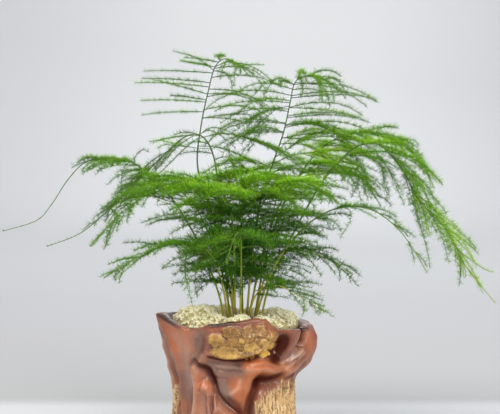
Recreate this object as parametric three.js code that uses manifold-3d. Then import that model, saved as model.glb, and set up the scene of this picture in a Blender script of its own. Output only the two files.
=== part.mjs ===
// A potted asparagus fern: a clay pot moulded like a weathered tree stump, filled with soil, dressed
// with tufts of pale reindeer moss, and holding a clump of wiry canes. Each cane carries side shoots
// clothed in fine needles. Millimetres, +Z up, +X to the viewer's right, -Y towards the viewer, and
// the origin at the middle of the pot's foot.
import * as THREE from "three";
import { mergeVertices } from "three/addons/utils/BufferGeometryUtils.js";
import Module from "manifold-3d";

const wasm = await Module();
wasm.setup();

const V = (x, y, z) => new THREE.Vector3(x, y, z);
const UP = V(0, 0, 1);
const DEGREE = Math.PI / 180;
const lerp = THREE.MathUtils.lerp;

// Pot
const POT_COLUMNS = 52;
const POT_BANDS = 18;
const CAVITY_RADIUS = 35; // the plain lower part of the hollow
const MOUTH_RADIUS = 51; // of the hollow at the rim
const LIP = { share: 0.35, above: 1 }; // the rim's crest: its place from the outside in, and its rise
const INNER_EDGE = { outside: 1.2, below: 0.6 }; // of the rim, from the hollow and from the rim's height
const CAVITY_FLOOR = 12;
const CAVITY_FLARE = [60, 102]; // heights between which the hollow widens to the rim
const CAVITY_RINGS = [12, 60, 78, 92];
const FRONT_FLATTENING = 0.05; // front and back stand this share closer than the sides
const UNROLLED_RADIUS = 50; // turns an angle on the pot into a length on its skin
// Height and radius of the plain stump.
const STUMP = [
  [0, 50], [5, 50.5], [14, 48], [28, 46], [42, 45], [54, 46], [66, 49], [80, 53], [95, 56.5], [106, 58.5],
];
// Angle from the front, positive to the right, and height of the broken rim.
const RIM = [
  [-98, 101], [-80, 104], [-62, 100], [-48, 97.5], [-41, 95.5], [-30, 98.5], [-20, 101.5], [0, 103.5],
  [16, 105.8], [25, 104.5], [30, 100.5], [37, 96], [50, 95], [60, 94], [67, 92.8], [76, 95], [88, 94],
  [105, 93.6], [125, 95], [150, 97], [172, 95.8], [195, 98.5], [213, 99.8], [232, 97.5], [248, 100],
];
// Ridges and hollows of the carved wood: how far each stands out, its half width, and its middle line
// as angles and heights.
const CARVING = [
  { out: 3.6, wide: 5, line: [[-81, 104], [-80, 85], [-77, 60], [-75, 35], [-76, 0]] },
  { out: 2.6, wide: 3.4, line: [[-74, 98], [-64, 80], [-61, 64], [-63, 42], [-55, 26], [-52, 0]] },
  { out: -2, wide: 3.5, line: [[-29, 92], [-35, 78], [-42, 68]] },
  { out: 2.4, wide: 3.4, line: [[-20, 97], [-25, 82], [-36, 68]] },
  { out: 2.6, wide: 9, line: [[-10, 89], [6, 91], [24, 90]] }, // bark patch under the rim
  { out: -2.6, wide: 3, line: [[-22, 72], [-8, 70.5], [8, 72.5]] },
  { out: -2.2, wide: 8, line: [[-24, 66], [-4, 65]] },
  { out: 4.6, wide: 9, line: [[11, 64], [6, 57], [-3, 50]] }, // smooth belly
  { out: 5, wide: 5, line: [[10, 70], [24, 69], [38, 64.5], [50, 63.5], [62, 66], [72, 71]] },
  { out: 9, wide: 10, line: [[90, 82], [88, 69]] }, // shoulder on the right
  { out: -2.4, wide: 11, line: [[92, 48], [92, 20]] },
  { out: -7, wide: 7.5, line: [[42, 80], [41, 84]] }, // knot hole
  { out: -4, wide: 2.6, line: [[67, 96], [66, 82]] },
  { out: -5, wide: 6, line: [[22, 58], [32, 57], [43, 59]] },
  { out: -4, wide: 3.6, line: [[22, 56], [15, 45], [11, 31], [12, 14], [15, 0]] },
  { out: 5.4, wide: 5.2, line: [[-38, 68], [-38, 55], [-40, 40], [-42, 20], [-47, 0]] }, // left root
  { out: 4.5, wide: 4.4, line: [[-29, 53]] }, // knob on the root
  { out: -4, wide: 3.4, line: [[-28, 66], [-23, 58], [-19, 48], [-10, 41], [2, 34], [8, 24]] },
  { out: 3, wide: 7, line: [[-16, 32], [-8, 28], [0, 20], [2, 4]] },
  { out: 3.5, wide: 6, line: [[58, 34], [56, 16], [60, 0]] },
  { out: 3.5, wide: 5.5, line: [[110, 96], [114, 70], [111, 40], [116, 0]] },
  { out: -3, wide: 5, line: [[125, 91], [123, 60], [127, 26]] },
  { out: 4.5, wide: 6, line: [[138, 102], [132, 74], [141, 48], [136, 20], [142, 0]] },
  { out: -6, wide: 7, line: [[162, 58], [160, 64]] }, // knot hole at the back
  { out: 3.5, wide: 4.5, line: [[150, 72], [162, 76], [173, 71]] },
  { out: 2.6, wide: 9, line: [[184, 88], [198, 86]] },
  { out: 5, wide: 5.4, line: [[181, 60], [184, 40], [178, 18], [182, 0]] },
  { out: -3.5, wide: 4.5, line: [[200, 66], [205, 44], [200, 20]] },
  { out: 4, wide: 5, line: [[222, 101], [226, 76], [218, 50], [224, 24], [220, 0]] },
  { out: 4, wide: 4.6, line: [[237, 58]] },
  { out: -3, wide: 5, line: [[245, 90], [250, 62], [246, 30]] },
  { out: 3.5, wide: 5, line: [[262, 101], [264, 70], [258, 40], [262, 0]] },
];

// Soil and moss
const GAP = 0.4; // between pieces that rest on or in each other
const SOIL_TOP = 92;
const ROOT_DEPTH = 6; // of a cane's foot in the soil
const HOLE = { radius: 1.8, sides: 5 }; // that a cane's foot stands in
const CROWN = V(4, 0, 0); // middle of the clump of canes
const CROWN_CLEARING = 18.5; // radius round the crown that the moss leaves free
// Height of each tuft over the soil, going round from the front.
const TUFT_HEIGHTS = [13, 11.5, 12.5, 11, 9, 11.5, 14, 16.5, 13];
const TUFT_GRID = 5;
const TUFT_SPACING = 1.3 * DEGREE; // half the angle left between two tufts
const LUMPS_PER_TUFT = 9;
const LUMP = { radius: 5, height: 2.6, spread: [0.1, 0.9] }; // spread: shares of a tuft's width
const TUFT_EDGE = 5; // height at a tuft's border
const TUFT_INSET = 1.2; // from the hollow's wall
const SEEDS = { tuft: 81173, shoots: 36495, needles: 97711, step: 7919 };

// Canes: each point is where the cane passes, and its foot is one root depth under the first. The
// shoots leave the cane between two shares of its length. Their lengths are those at the start, the
// middle and the end of that stretch, lean is their angle from the cane, and turn is the angle round
// the cane from one shoot to the next: half a turn makes a flat spray. droop is how far the shoots of
// its two sides bend down.
const CANES = [
  {
    name: "cane_tall_left", needle: 3.4,
    line: [[-1, 5, 98], [-10, 12, 145], [-22, 19, 188], [-30, 21, 216], [-27, 21, 246], [-21, 20, 274],
      [-16, 19, 291], [-8, 17, 297], [2, 14, 292], [11, 11, 283]],
    shoots: {
      from: 0.69, to: 0.95, count: 17, lengths: [52, 50, 30],
      lean: 80, turn: 180, droop: [1.2, 0.2],
    },
  },
  {
    name: "cane_tall_right", needle: 4.6,
    line: [[8, 2.5, 98], [12, 6, 145], [18, 8, 185], [27, 10, 214], [36, 12, 240], [41, 12, 262],
      [45, 12, 279], [55, 12, 284], [67, 11, 281], [80, 9, 274]],
    shoots: {
      from: 0.65, to: 0.94, count: 17, lengths: [62, 60, 34],
      lean: 68, turn: 180, droop: [1.1, 1.5],
    },
  },
  {
    name: "cane_right_arch", needle: 5,
    line: [[19, -2, 98], [25, -6, 124], [41, -10, 161], [63, -10, 201], [80, -8, 222], [96, -5, 233],
      [110, -3, 231], [127, 0, 212], [137, 2, 193], [151, 3, 177], [164, 4, 162], [175, 5, 140],
      [199, 5, 110]],
    shoots: {
      from: 0.46, to: 0.9, count: 15, lengths: [44, 52, 16],
      lean: 36, turn: 180, droop: [1.2, 0.8],
    },
  },
  {
    name: "cane_right_far", needle: 5,
    line: [[14, 5, 98], [24, 14, 150], [42, 22, 196], [66, 26, 228], [90, 28, 239], [112, 28, 238],
      [132, 26, 228], [146, 24, 212], [153, 21, 197]],
    shoots: {
      from: 0.44, to: 0.94, count: 13, lengths: [44, 46, 16],
      lean: 44, turn: 180, droop: [1.1, 0.9],
    },
  },
  {
    name: "cane_right_front", needle: 5,
    line: [[14, -7, 98], [28, -22, 140], [50, -38, 172], [74, -50, 188], [98, -58, 188], [117, -62, 175],
      [130, -65, 158], [139, -66, 142]],
    shoots: {
      from: 0.38, to: 0.92, count: 10, lengths: [26, 30, 12],
      lean: 42, turn: 180, droop: [1, 1],
    },
  },
  {
    name: "cane_left_arch", needle: 4.2,
    line: [[-9, -4, 98], [-14, -8, 122], [-29, -12, 160], [-46, -13, 189], [-62, -12, 207], [-80, -8, 220],
      [-99, -6, 222], [-114, -6, 219], [-127, -7, 206], [-139, -8, 188], [-151, -8, 175], [-177, -8, 167]],
    shoots: {
      from: 0.44, to: 0.66, count: 9, lengths: [18, 28, 22],
      lean: 50, turn: 180, droop: [1, 1],
    },
  },
  {
    name: "cane_left_over", needle: 4.6,
    line: [[-5, 1, 98], [-9, 3, 145], [-13, 6, 190], [-17, 8, 222], [-26, 9, 238], [-40, 9, 237],
      [-60, 6, 219], [-88, 0, 191], [-103, -2, 177], [-120, -4, 164], [-144, -6, 155]],
    shoots: {
      from: 0.42, to: 0.86, count: 10, lengths: [20, 22, 12],
      lean: 38, turn: 180, droop: [0.8, 0.8],
    },
  },
  {
    name: "cane_shelf_left", needle: 5,
    line: [[-1, -9.5, 98], [-1, -19, 145], [-4, -28, 184], [-16, -36, 203], [-36, -42, 208], [-58, -46, 202],
      [-78, -49, 189], [-94, -51, 174], [-106, -52, 160]],
    shoots: {
      from: 0.36, to: 0.95, count: 13, lengths: [46, 50, 16],
      lean: 52, turn: 180, droop: [0.6, 0.6],
    },
  },
  {
    name: "cane_shelf_right", needle: 5,
    line: [[8, -5, 98], [12, -16, 145], [18, -26, 184], [30, -32, 203], [46, -36, 207], [62, -39, 201],
      [76, -41, 190]],
    shoots: {
      from: 0.4, to: 0.95, count: 11, lengths: [44, 46, 18],
      lean: 54, turn: 180, droop: [0.6, 0.6],
    },
  },
  {
    name: "cane_low_left", needle: 4.8,
    line: [[-6, -9, 98], [-10, -18, 126], [-18, -27, 150], [-33, -34, 161], [-51, -40, 160], [-70, -45, 152],
      [-95, -50, 138]],
    shoots: {
      from: 0.3, to: 0.95, count: 11, lengths: [34, 36, 12],
      lean: 46, turn: 180, droop: [0.6, 0.6],
    },
  },
  {
    name: "cane_low_right", needle: 4.8,
    line: [[14, -1.5, 98], [20, -10, 126], [28, -18, 146], [42, -24, 155], [58, -28, 152], [74, -31, 146],
      [87, -33, 137]],
    shoots: {
      from: 0.3, to: 0.95, count: 9, lengths: [30, 34, 12],
      lean: 46, turn: 180, droop: [0.7, 0.7],
    },
  },
  {
    name: "cane_skirt_right", needle: 4.4,
    line: [[9, -10, 98], [14, -20, 118], [24, -30, 129], [38, -38, 127], [52, -44, 119], [66, -48, 111]],
    shoots: {
      from: 0.34, to: 0.94, count: 8, lengths: [22, 26, 10],
      lean: 42, turn: 180, droop: [0.5, 0.5],
    },
  },
  {
    name: "cane_front", needle: 4.8,
    line: [[3, -12.5, 98], [4, -30, 136], [4, -54, 164], [2, -76, 173], [-2, -94, 167], [-6, -108, 154]],
    shoots: {
      from: 0.34, to: 0.94, count: 10, lengths: [40, 42, 14],
      lean: 52, turn: 180, droop: [0.7, 0.7],
    },
  },
  {
    name: "cane_back_left", needle: 4.8,
    line: [[-4, 9, 98], [-14, 24, 142], [-32, 44, 180], [-54, 62, 197], [-76, 78, 195], [-94, 90, 180],
      [-106, 98, 162]],
    shoots: {
      from: 0.36, to: 0.94, count: 11, lengths: [36, 38, 14],
      lean: 50, turn: 180, droop: [0.9, 0.9],
    },
  },
  {
    name: "cane_back_right", needle: 4.8,
    line: [[10, 8.5, 98], [20, 26, 145], [38, 46, 190], [62, 64, 212], [86, 78, 210], [106, 90, 194],
      [118, 98, 176]],
    shoots: {
      from: 0.36, to: 0.94, count: 11, lengths: [42, 46, 16],
      lean: 50, turn: 180, droop: [0.9, 0.9],
    },
  },
  {
    name: "cane_back", needle: 4.8,
    line: [[5, 10, 98], [4, 32, 150], [6, 58, 192], [8, 84, 208], [8, 106, 200], [6, 122, 184]],
    shoots: {
      from: 0.38, to: 0.94, count: 10, lengths: [42, 44, 16],
      lean: 52, turn: 180, droop: [0.8, 0.8],
    },
  },
  {
    name: "cane_low_back", needle: 4.6,
    line: [[0, 12.5, 98], [-4, 32, 128], [-8, 56, 148], [-10, 78, 150], [-10, 96, 142], [-8, 110, 130]],
    shoots: {
      from: 0.32, to: 0.94, count: 9, lengths: [36, 38, 12],
      lean: 54, turn: 180, droop: [0.7, 0.7],
    },
  },
  {
    name: "cane_heart_left", needle: 5,
    line: [[-1.5, -3, 98], [-4, -5, 130], [-10, -6, 160], [-17, -6, 186], [-24, -5, 205]],
    shoots: {
      from: 0.28, to: 0.94, count: 12, lengths: [34, 44, 24],
      lean: 70, turn: 137.5, droop: [0.9, 0.7],
    },
  },
  {
    name: "cane_heart_right", needle: 5,
    line: [[9, -1, 98], [16, -3, 130], [24, -4, 160], [30, -2, 188], [31, 2, 208]],
    shoots: {
      from: 0.28, to: 0.94, count: 12, lengths: [34, 44, 24],
      lean: 70, turn: 137.5, droop: [0.9, 0.7],
    },
  },
  {
    name: "cane_heart", needle: 5,
    line: [[3.5, -3.5, 98], [4, -1, 130], [4, 1, 165], [2, 0, 195], [-3, -2, 220]],
    shoots: {
      from: 0.28, to: 0.94, count: 12, lengths: [36, 44, 30],
      lean: 70, turn: 137.5, droop: [0.9, 0.7],
    },
  },
];

// Growth
const LINE_STEPS = 2; // straight stretches between two of a cane's given points
const LEAST_BEND = 7 * DEGREE; // a point where a cane bends less than this is left out
const CANE_RADIUS = 0.9;
const CANE_SIDES = 4;
const CANE_FRONT = V(0.31, -0.95, 0); // where one edge of each cane faces at its foot
const SHOOT_SIDES = 3;
const SHOOT_REACH = 28; // longest straight stretch of a shoot
const SHOOT_RADIUS = 0.75;
const SHOOT_LENGTHS = [0.82, 1.18]; // shortest and longest, as shares of the usual length
const SHOOT_JITTER = 20 * DEGREE; // how far a shoot strays from its place round the cane
const SHOOT_STRAY = 0.35; // share of the spacing by which a shoot leaves its place along the cane
const SHOOT_RISE = 5 * DEGREE; // added to the climb of a shoot's first direction
const RISE_JITTER = 8 * DEGREE;
const DROOP_SHARES = [0.5, 1.5]; // least and most, as shares of the usual droop
const UPRIGHT = 0.55; // upward share of a cane's direction above which its spray faces the viewer
const FLATNESS = 0.12; // share of a shoot's climb that it keeps, so that the sprays lie flat
const TRIES = 7; // places that a shoot tries before it is left out
const TRY_TURN = 14 * DEGREE; // between two of these places
const PROBE = 2; // spacing of the points that stand for a line when its distance is tested
const SHOOT_CLEARANCE = 3.4; // between points of shoots on different canes
const NEEDLE_CLEARANCE = 2.4; // between a needle's points and another cane's wood
const NEEDLE_APART = 1.5; // between needles of different canes
const MOSS_CLEARANCE = { radius: 64, height: 113 }; // no growth over the moss below this height
const NEEDLE_SPACING = 23; // along a shoot
const NEEDLES_PER_TIP = 3; // on the bare end of a cane
const NEEDLE_RADIUS = 0.42;
const NEEDLE_FOOT = 0.08; // distance of a needle's foot from the middle of its shoot
const NEEDLE_START = 0.34; // share of a shoot below its first needle
const NEEDLE_LENGTHS = [1.05, 1.35]; // with the part in the wood, as shares of the needle's length
const NEEDLE_PROBES = [0.3, 0.55, 0.8, 1]; // places along a needle that are tested
const NEEDLE_LEAN = 50 * DEGREE;
const NEEDLE_JITTER = 6 * DEGREE;

// A seeded draw of numbers from 0 to 1, the same on every machine.
function dice(seed) {
  const LARGEST = 2147483647;
  let state = seed;
  return () => {
    state = (state * 16807) % LARGEST;
    return state / LARGEST;
  };
}

// Smooth value at x through points given as [x, value].
function smoothValue(points, x) {
  const last = points.length - 1;
  if (x <= points[0][0]) return points[0][1];
  if (x >= points[last][0]) return points[last][1];
  const i = points.findIndex(([px]) => px > x) - 1;
  const t = (x - points[i][0]) / (points[i + 1][0] - points[i][0]);
  return lerp(points[i][1], points[i + 1][1], t * t * (3 - 2 * t));
}

// A Catmull-Rom line through the points, with the given number of steps between each two.
function smoothLine(points, steps) {
  const line = [];
  for (let i = 0; i + 1 < points.length; i++) {
    const [a, b, c, d] = [
      points[Math.max(i - 1, 0)], points[i], points[i + 1], points[Math.min(i + 2, points.length - 1)],
    ];
    for (let k = 0; k < steps; k++) {
      const t = k / steps;
      const weights = [
        (-t + 2 * t * t - t ** 3) / 2,
        (2 - 5 * t * t + 3 * t ** 3) / 2,
        (t + 4 * t * t - 3 * t ** 3) / 2,
        (t ** 3 - t * t) / 2,
      ];
      line.push(
        V(0, 0, 0)
          .addScaledVector(a, weights[0])
          .addScaledVector(b, weights[1])
          .addScaledVector(c, weights[2])
          .addScaledVector(d, weights[3]),
      );
    }
  }
  line.push(points[points.length - 1].clone());
  return line;
}

function lengthOf(line) {
  return line.slice(1).reduce((sum, p, i) => sum + p.distanceTo(line[i]), 0);
}

// The point and direction at a distance along a line, and the number of the stretch it lies in.
function along(line, distance) {
  let left = distance;
  for (let i = 0; i + 1 < line.length; i++) {
    const step = line[i].distanceTo(line[i + 1]);
    if (left <= step || i + 2 === line.length) {
      const tangent = line[i + 1].clone().sub(line[i]).normalize();
      return { point: line[i].clone().addScaledVector(tangent, left), tangent, index: i };
    }
    left -= step;
  }
  return null;
}

// Points every PROBE millimetres along a line, for testing distances.
function probesOf(line) {
  const length = lengthOf(line);
  const count = Math.max(1, Math.ceil(length / PROBE));
  return Array.from({ length: count + 1 }, (_, i) => along(line, (length * i) / count).point);
}

// True if no probe comes within reach of those that belong to another cane.
function isClear(probes, placed, owner, reach) {
  return !placed.some(
    (other) =>
      other.owner !== owner && probes.some((p) => p.distanceToSquared(other.point) < reach * reach),
  );
}

// For each straight stretch of a line, its direction and two directions across it, the first of them
// nearest to a given one. They turn as little as the line allows.
function framesOf(line, nearest) {
  let previous = null;
  return line.slice(1).map((point, i) => {
    const tangent = point.clone().sub(line[i]).normalize();
    const across = previous
      ? previous.across
          .clone()
          .applyQuaternion(new THREE.Quaternion().setFromUnitVectors(previous.tangent, tangent))
      : nearest.clone().projectOnPlane(tangent).normalize();
    previous = { tangent, across, over: tangent.clone().cross(across) };
    return previous;
  });
}

const outwardsFrom = ({ across, over }, turn) =>
  across.clone().multiplyScalar(Math.cos(turn)).addScaledVector(over, Math.sin(turn));

// A rod of one thickness with flat sides, mitred at each bend of a line and pointed at its end.
function bentRod(line, radius, sides, nearest) {
  const bands = line.length - 1;
  const frames = framesOf(line, nearest);
  const rod = new THREE.CylinderGeometry(0, 1, 1, sides, bands);
  const place = rod.getAttribute("position");
  for (let i = 0; i < place.count; i++) {
    const row = Math.round((place.getY(i) + 0.5) * bands);
    const onAxis = Math.hypot(place.getX(i), place.getZ(i)) < 1e-6;
    const before = frames[Math.max(row - 1, 0)];
    const after = frames[Math.min(row, bands - 1)];
    const mitre = before.tangent.clone().add(after.tangent).normalize();
    const reach = outwardsFrom(before, Math.atan2(place.getX(i), place.getZ(i))).multiplyScalar(radius);
    reach.addScaledVector(before.tangent, -reach.dot(mitre) / before.tangent.dot(mitre));
    const at = line[row].clone().addScaledVector(reach, onAxis || row === bands ? 0 : 1);
    place.setXYZ(i, at.x, at.y, at.z);
  }
  return rod;
}

// A closed geometry as a solid that can be joined and cut.
function solidOf(geometry) {
  const bare = geometry.clone();
  bare.deleteAttribute("normal");
  bare.deleteAttribute("uv");
  const merged = mergeVertices(bare, 1e-4);
  return new wasm.Manifold(
    new wasm.Mesh({
      numProp: 3,
      vertProperties: merged.getAttribute("position").array,
      triVerts: new Uint32Array(merged.index.array),
    }),
  );
}

function geometryOf(solid) {
  const { vertProperties, triVerts } = solid.getMesh();
  const geometry = new THREE.BufferGeometry();
  geometry.setAttribute("position", new THREE.BufferAttribute(new Float32Array(vertProperties), 3));
  geometry.setIndex(new THREE.BufferAttribute(new Uint32Array(triVerts), 1));
  return geometry;
}

function distanceToLine(x, z, line) {
  const places = line.map(([angle, height]) => [angle * DEGREE * UNROLLED_RADIUS, height]);
  if (places.length === 1) return Math.hypot(x - places[0][0], z - places[0][1]);
  return Math.min(
    ...places.slice(1).map(([bx, bz], i) => {
      const [ax, az] = places[i];
      const [dx, dz] = [bx - ax, bz - az];
      const t = Math.min(1, Math.max(0, ((x - ax) * dx + (z - az) * dz) / (dx * dx + dz * dz)));
      return Math.hypot(x - ax - t * dx, z - az - t * dz);
    }),
  );
}

// How far the carving stands out at an angle from the front and a height. Angles wrap round the pot.
function carvingAt(angle, height) {
  const around = 2 * Math.PI * UNROLLED_RADIUS;
  const x = angle * DEGREE * UNROLLED_RADIUS;
  return CARVING.reduce((sum, { out, wide, line }) => {
    const distance = Math.min(
      distanceToLine(x, height, line),
      distanceToLine(x - around, height, line),
      distanceToLine(x + around, height, line),
    );
    return sum + out * Math.exp(-((distance / wide) ** 2));
  }, 0);
}

const rimHeight = (angle) =>
  smoothValue([...RIM, [RIM[0][0] + 360, RIM[0][1]]], angle < RIM[0][0] ? angle + 360 : angle);

const ovalAt = (angle) => 1 - FRONT_FLATTENING * Math.cos(angle * DEGREE) ** 2;

const potRadius = (angle, height) =>
  smoothValue(STUMP, height) * ovalAt(angle) + carvingAt(angle, height);

function cavityRadius(angle, height) {
  const share = THREE.MathUtils.smoothstep(height, ...CAVITY_FLARE);
  return lerp(CAVITY_RADIUS, MOUTH_RADIUS * ovalAt(angle), share);
}

// The angle from the front, in degrees from -180 to 180, of a point on the pot.
const angleOf = (x, y) => Math.atan2(x, -y) / DEGREE;

// Gives every point of a lathed shape its carved place. placeOf takes the angle from the front and
// the point's own radius and height, and returns the carved radius and height.
function carve(geometry, placeOf) {
  const place = geometry.getAttribute("position");
  for (let i = 0; i < place.count; i++) {
    const [x, up, z] = [place.getX(i), place.getY(i), place.getZ(i)];
    const radius = Math.hypot(x, z);
    const angle = radius > 1e-6 ? angleOf(x, -z) : 0;
    const [r, height] = placeOf(angle, radius, up);
    place.setXYZ(i, radius > 1e-6 ? (x * r) / radius : 0, radius > 1e-6 ? (-z * r) / radius : 0, height);
  }
  return geometry;
}

// The profile's radii only say which ring is which. The outer rings have heights from 0 to 1, and the
// hollow's rings have their own height.
const RING = { outer: 4, lip: 3, innerEdge: 2, hollow: 1, axis: 0 };

function makePot() {
  const P = (x, y) => new THREE.Vector2(x, y);
  const outer = Array.from({ length: POT_BANDS + 1 }, (_, i) => P(RING.outer, i / POT_BANDS));
  const rim = [P(RING.lip, 1), P(RING.innerEdge, 1)];
  const hollow = CAVITY_RINGS.map((height) => P(RING.hollow, height)).reverse();
  const profile = [P(RING.axis, 0), ...outer, ...rim, ...hollow, P(RING.axis, CAVITY_FLOOR)];
  const placeOf = (angle, radius, up) => {
    const top = rimHeight(angle);
    const ring = Math.round(radius);
    if (ring === RING.outer) return [potRadius(angle, top * up), top * up];
    if (ring === RING.lip) {
      return [lerp(potRadius(angle, top), cavityRadius(angle, top), LIP.share), top + LIP.above];
    }
    if (ring === RING.innerEdge) {
      return [cavityRadius(angle, top) + INNER_EDGE.outside, top - INNER_EDGE.below];
    }
    return [ring === RING.axis ? 0 : cavityRadius(angle, up), up];
  };
  return carve(new THREE.LatheGeometry(profile, POT_COLUMNS), placeOf);
}

// The soil fills the hollow, with one plain hole for the foot of each cane.
function makeSoil() {
  const P = (x, y) => new THREE.Vector2(x, y);
  const floor = CAVITY_FLOOR + GAP;
  const rings = [floor, ...CAVITY_RINGS.slice(1)].map((height) => P(RING.hollow, height));
  const plug = carve(
    new THREE.LatheGeometry([P(RING.axis, floor), ...rings, P(RING.axis, SOIL_TOP)], POT_COLUMNS),
    (angle, ring, up) => [ring ? cavityRadius(angle, up) - GAP : 0, up],
  );
  const holes = CANES.map(({ line }) => {
    const hole = new THREE.CylinderGeometry(HOLE.radius, HOLE.radius, 2 * (ROOT_DEPTH + GAP), HOLE.sides);
    hole.rotateX(Math.PI / 2);
    hole.translate(line[0][0], line[0][1], SOIL_TOP);
    return solidOf(hole);
  });
  return geometryOf(solidOf(plug).subtract(wasm.Manifold.union(holes)));
}

// A cushion of moss between two angles round the crown, raised in lumps.
function makeTuft(index) {
  const draw = dice(SEEDS.tuft + SEEDS.step * index);
  const step = (2 * Math.PI) / TUFT_HEIGHTS.length;
  const start = (index - 0.5) * step + TUFT_SPACING;
  const sweep = step - 2 * TUFT_SPACING;
  const at = (across, outwards) => {
    const angle = start + sweep * across;
    const heading = V(Math.sin(angle), -Math.cos(angle), 0);
    const inner = CROWN.clone().addScaledVector(heading, CROWN_CLEARING);
    const reach = cavityRadius(angle / DEGREE, SOIL_TOP) - TUFT_INSET;
    return inner.lerp(heading.multiplyScalar(reach), outwards);
  };
  const lumps = Array.from({ length: LUMPS_PER_TUFT }, () =>
    at(lerp(...LUMP.spread, draw()), lerp(...LUMP.spread, draw())),
  );
  const lumpAt = (spot) =>
    lumps.reduce((most, p) => Math.max(most, 1 - p.distanceToSquared(spot) / LUMP.radius ** 2), 0);
  const box = new THREE.BoxGeometry(1, 1, 1, TUFT_GRID, TUFT_GRID, 1);
  const place = box.getAttribute("position");
  for (let i = 0; i < place.count; i++) {
    const [across, outwards] = [0.5 - place.getX(i), place.getY(i) + 0.5];
    const spot = at(across, outwards);
    const shoulder = (1 - Math.abs(2 * across - 1) ** 3) * (1 - Math.abs(2 * outwards - 1) ** 3);
    const dome = (TUFT_HEIGHTS[index] - TUFT_EDGE - LUMP.height) * Math.sqrt(shoulder);
    const top = TUFT_EDGE + dome + LUMP.height * lumpAt(spot) * shoulder;
    place.setXYZ(i, spot.x, spot.y, SOIL_TOP + GAP + (place.getZ(i) > 0 ? top : 0));
  }
  return box;
}

// The cane's line, from its upright foot in the soil to its tip.
function caneLine({ line }) {
  const [x, y] = line[0];
  const above = smoothLine(line.map((p) => V(...p)), LINE_STEPS);
  const bends = above.filter((point, i) => {
    const [before, after] = [above[i - 1], above[i + 1]];
    if (!before || !after) return true;
    return point.clone().sub(before).angleTo(after.clone().sub(point)) > LEAST_BEND;
  });
  return [V(x, y, SOIL_TOP - ROOT_DEPTH), ...bends];
}

// A shoot leaves its cane in one direction, bends down and sideways as it grows, and ends in a
// needle that carries its line on.
function shootLine(start, direction, length, droop, sway, needle) {
  const steps = Math.max(1, Math.round(length / SHOOT_REACH));
  const line = [start.clone()];
  const heading = direction.clone();
  for (let i = 0; i < steps; i++) {
    heading.z -= (droop * (i + 0.5)) / steps / steps;
    heading.applyAxisAngle(UP, sway / steps).normalize();
    line.push(line[i].clone().addScaledVector(heading, length / steps));
  }
  heading.z -= droop / steps / 2;
  line.push(line[steps].clone().addScaledVector(heading.normalize(), needle));
  return line;
}

const overMoss = (probes) =>
  probes.some((p) => p.z < MOSS_CLEARANCE.height && Math.hypot(p.x, p.y) < MOSS_CLEARANCE.radius);

// All the side shoots of a cane. Each takes the first of several places round the cane where it
// clears the moss, the other canes and their shoots, and is left out if none does.
function growShoots(cane, owner, wood) {
  const draw = dice(SEEDS.shoots + SEEDS.step * owner);
  const { from, to, count, lengths, lean, turn, droop } = cane.shoots;
  const whole = lengthOf(cane.path);
  const shoots = [];
  for (let i = 0; i < count; i++) {
    const share = THREE.MathUtils.clamp((i + SHOOT_STRAY * (2 * draw() - 1)) / (count - 1), 0, 1);
    const { point, tangent } = along(cane.path, whole * lerp(from, to, share));
    const blend = [(1 - share) * (1 - 2 * share), 4 * share * (1 - share), share * (2 * share - 1)];
    const usual = blend.reduce((sum, weight, k) => sum + weight * lengths[k], 0);
    const length = usual * lerp(...SHOOT_LENGTHS, draw());
    const upright = tangent.z > UPRIGHT ? 1 : 0;
    const facing = V(tangent.x, tangent.y + upright, 0).normalize();
    const side = facing.cross(UP).projectOnPlane(tangent).normalize();
    const [stray, sway] = [(2 * draw() - 1) * SHOOT_JITTER, draw() - 0.5];
    const drop = droop[i % 2] * lerp(...DROOP_SHARES, draw());
    const rise = SHOOT_RISE + (2 * draw() - 1) * RISE_JITTER;
    for (let k = 0; k < TRIES; k++) {
      const shift = (k % 2 ? 1 : -1) * Math.ceil(k / 2) * TRY_TURN;
      const outwards = side.clone().applyAxisAngle(tangent, i * turn * DEGREE + stray + shift);
      const direction = outwards
        .multiplyScalar(Math.sin(lean * DEGREE))
        .addScaledVector(tangent, Math.cos(lean * DEGREE));
      const climb = Math.asin(direction.z);
      const elevation = climb * (climb > 0 ? FLATNESS : 1) + rise;
      direction.setZ(0).setLength(Math.cos(elevation)).setZ(Math.sin(elevation));
      const line = shootLine(point, direction, length, drop, sway, cane.needle);
      const probes = probesOf(line);
      if (!overMoss(probes) && isClear(probes, wood, owner, SHOOT_CLEARANCE)) {
        wood.push(...probes.map((p) => ({ point: p, owner })));
        shoots.push({ line, parent: tangent });
        break;
      }
    }
  }
  return shoots;
}

// Needles along a stretch of wood, standing on each of its sides in turn, where they clear the moss
// and the other canes.
function growNeedles({ line, nearest, sides, start, count }, cane, owner, wood, placed, draw) {
  const frames = framesOf(line, nearest);
  const whole = lengthOf(line);
  const needles = [];
  for (let i = 0; i < count; i++) {
    const share = count > 1 ? i / (count - 1) : 1;
    const { point, tangent, index } = along(line, lerp(start * whole, whole - cane.needle - 1, share));
    const face = (2 * (i % sides) + 1) * (Math.PI / sides) + (2 * draw() - 1) * NEEDLE_JITTER;
    const outwards = outwardsFrom(frames[index], face);
    const foot = point.clone().addScaledVector(outwards, NEEDLE_FOOT);
    const heading = outwards
      .clone()
      .multiplyScalar(Math.sin(NEEDLE_LEAN))
      .addScaledVector(tangent, Math.cos(NEEDLE_LEAN));
    const length = cane.needle * lerp(...NEEDLE_LENGTHS, draw());
    const probes = NEEDLE_PROBES.map((t) => foot.clone().addScaledVector(heading, length * t));
    const isFree =
      !overMoss(probes) &&
      isClear(probes, wood, owner, NEEDLE_CLEARANCE) &&
      isClear(probes, placed, owner, NEEDLE_APART);
    if (isFree) {
      placed.push(...probes.map((p) => ({ point: p, owner })));
      needles.push({ foot, heading, sideways: tangent.clone().cross(outwards), length });
    }
  }
  return needles;
}

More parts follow.
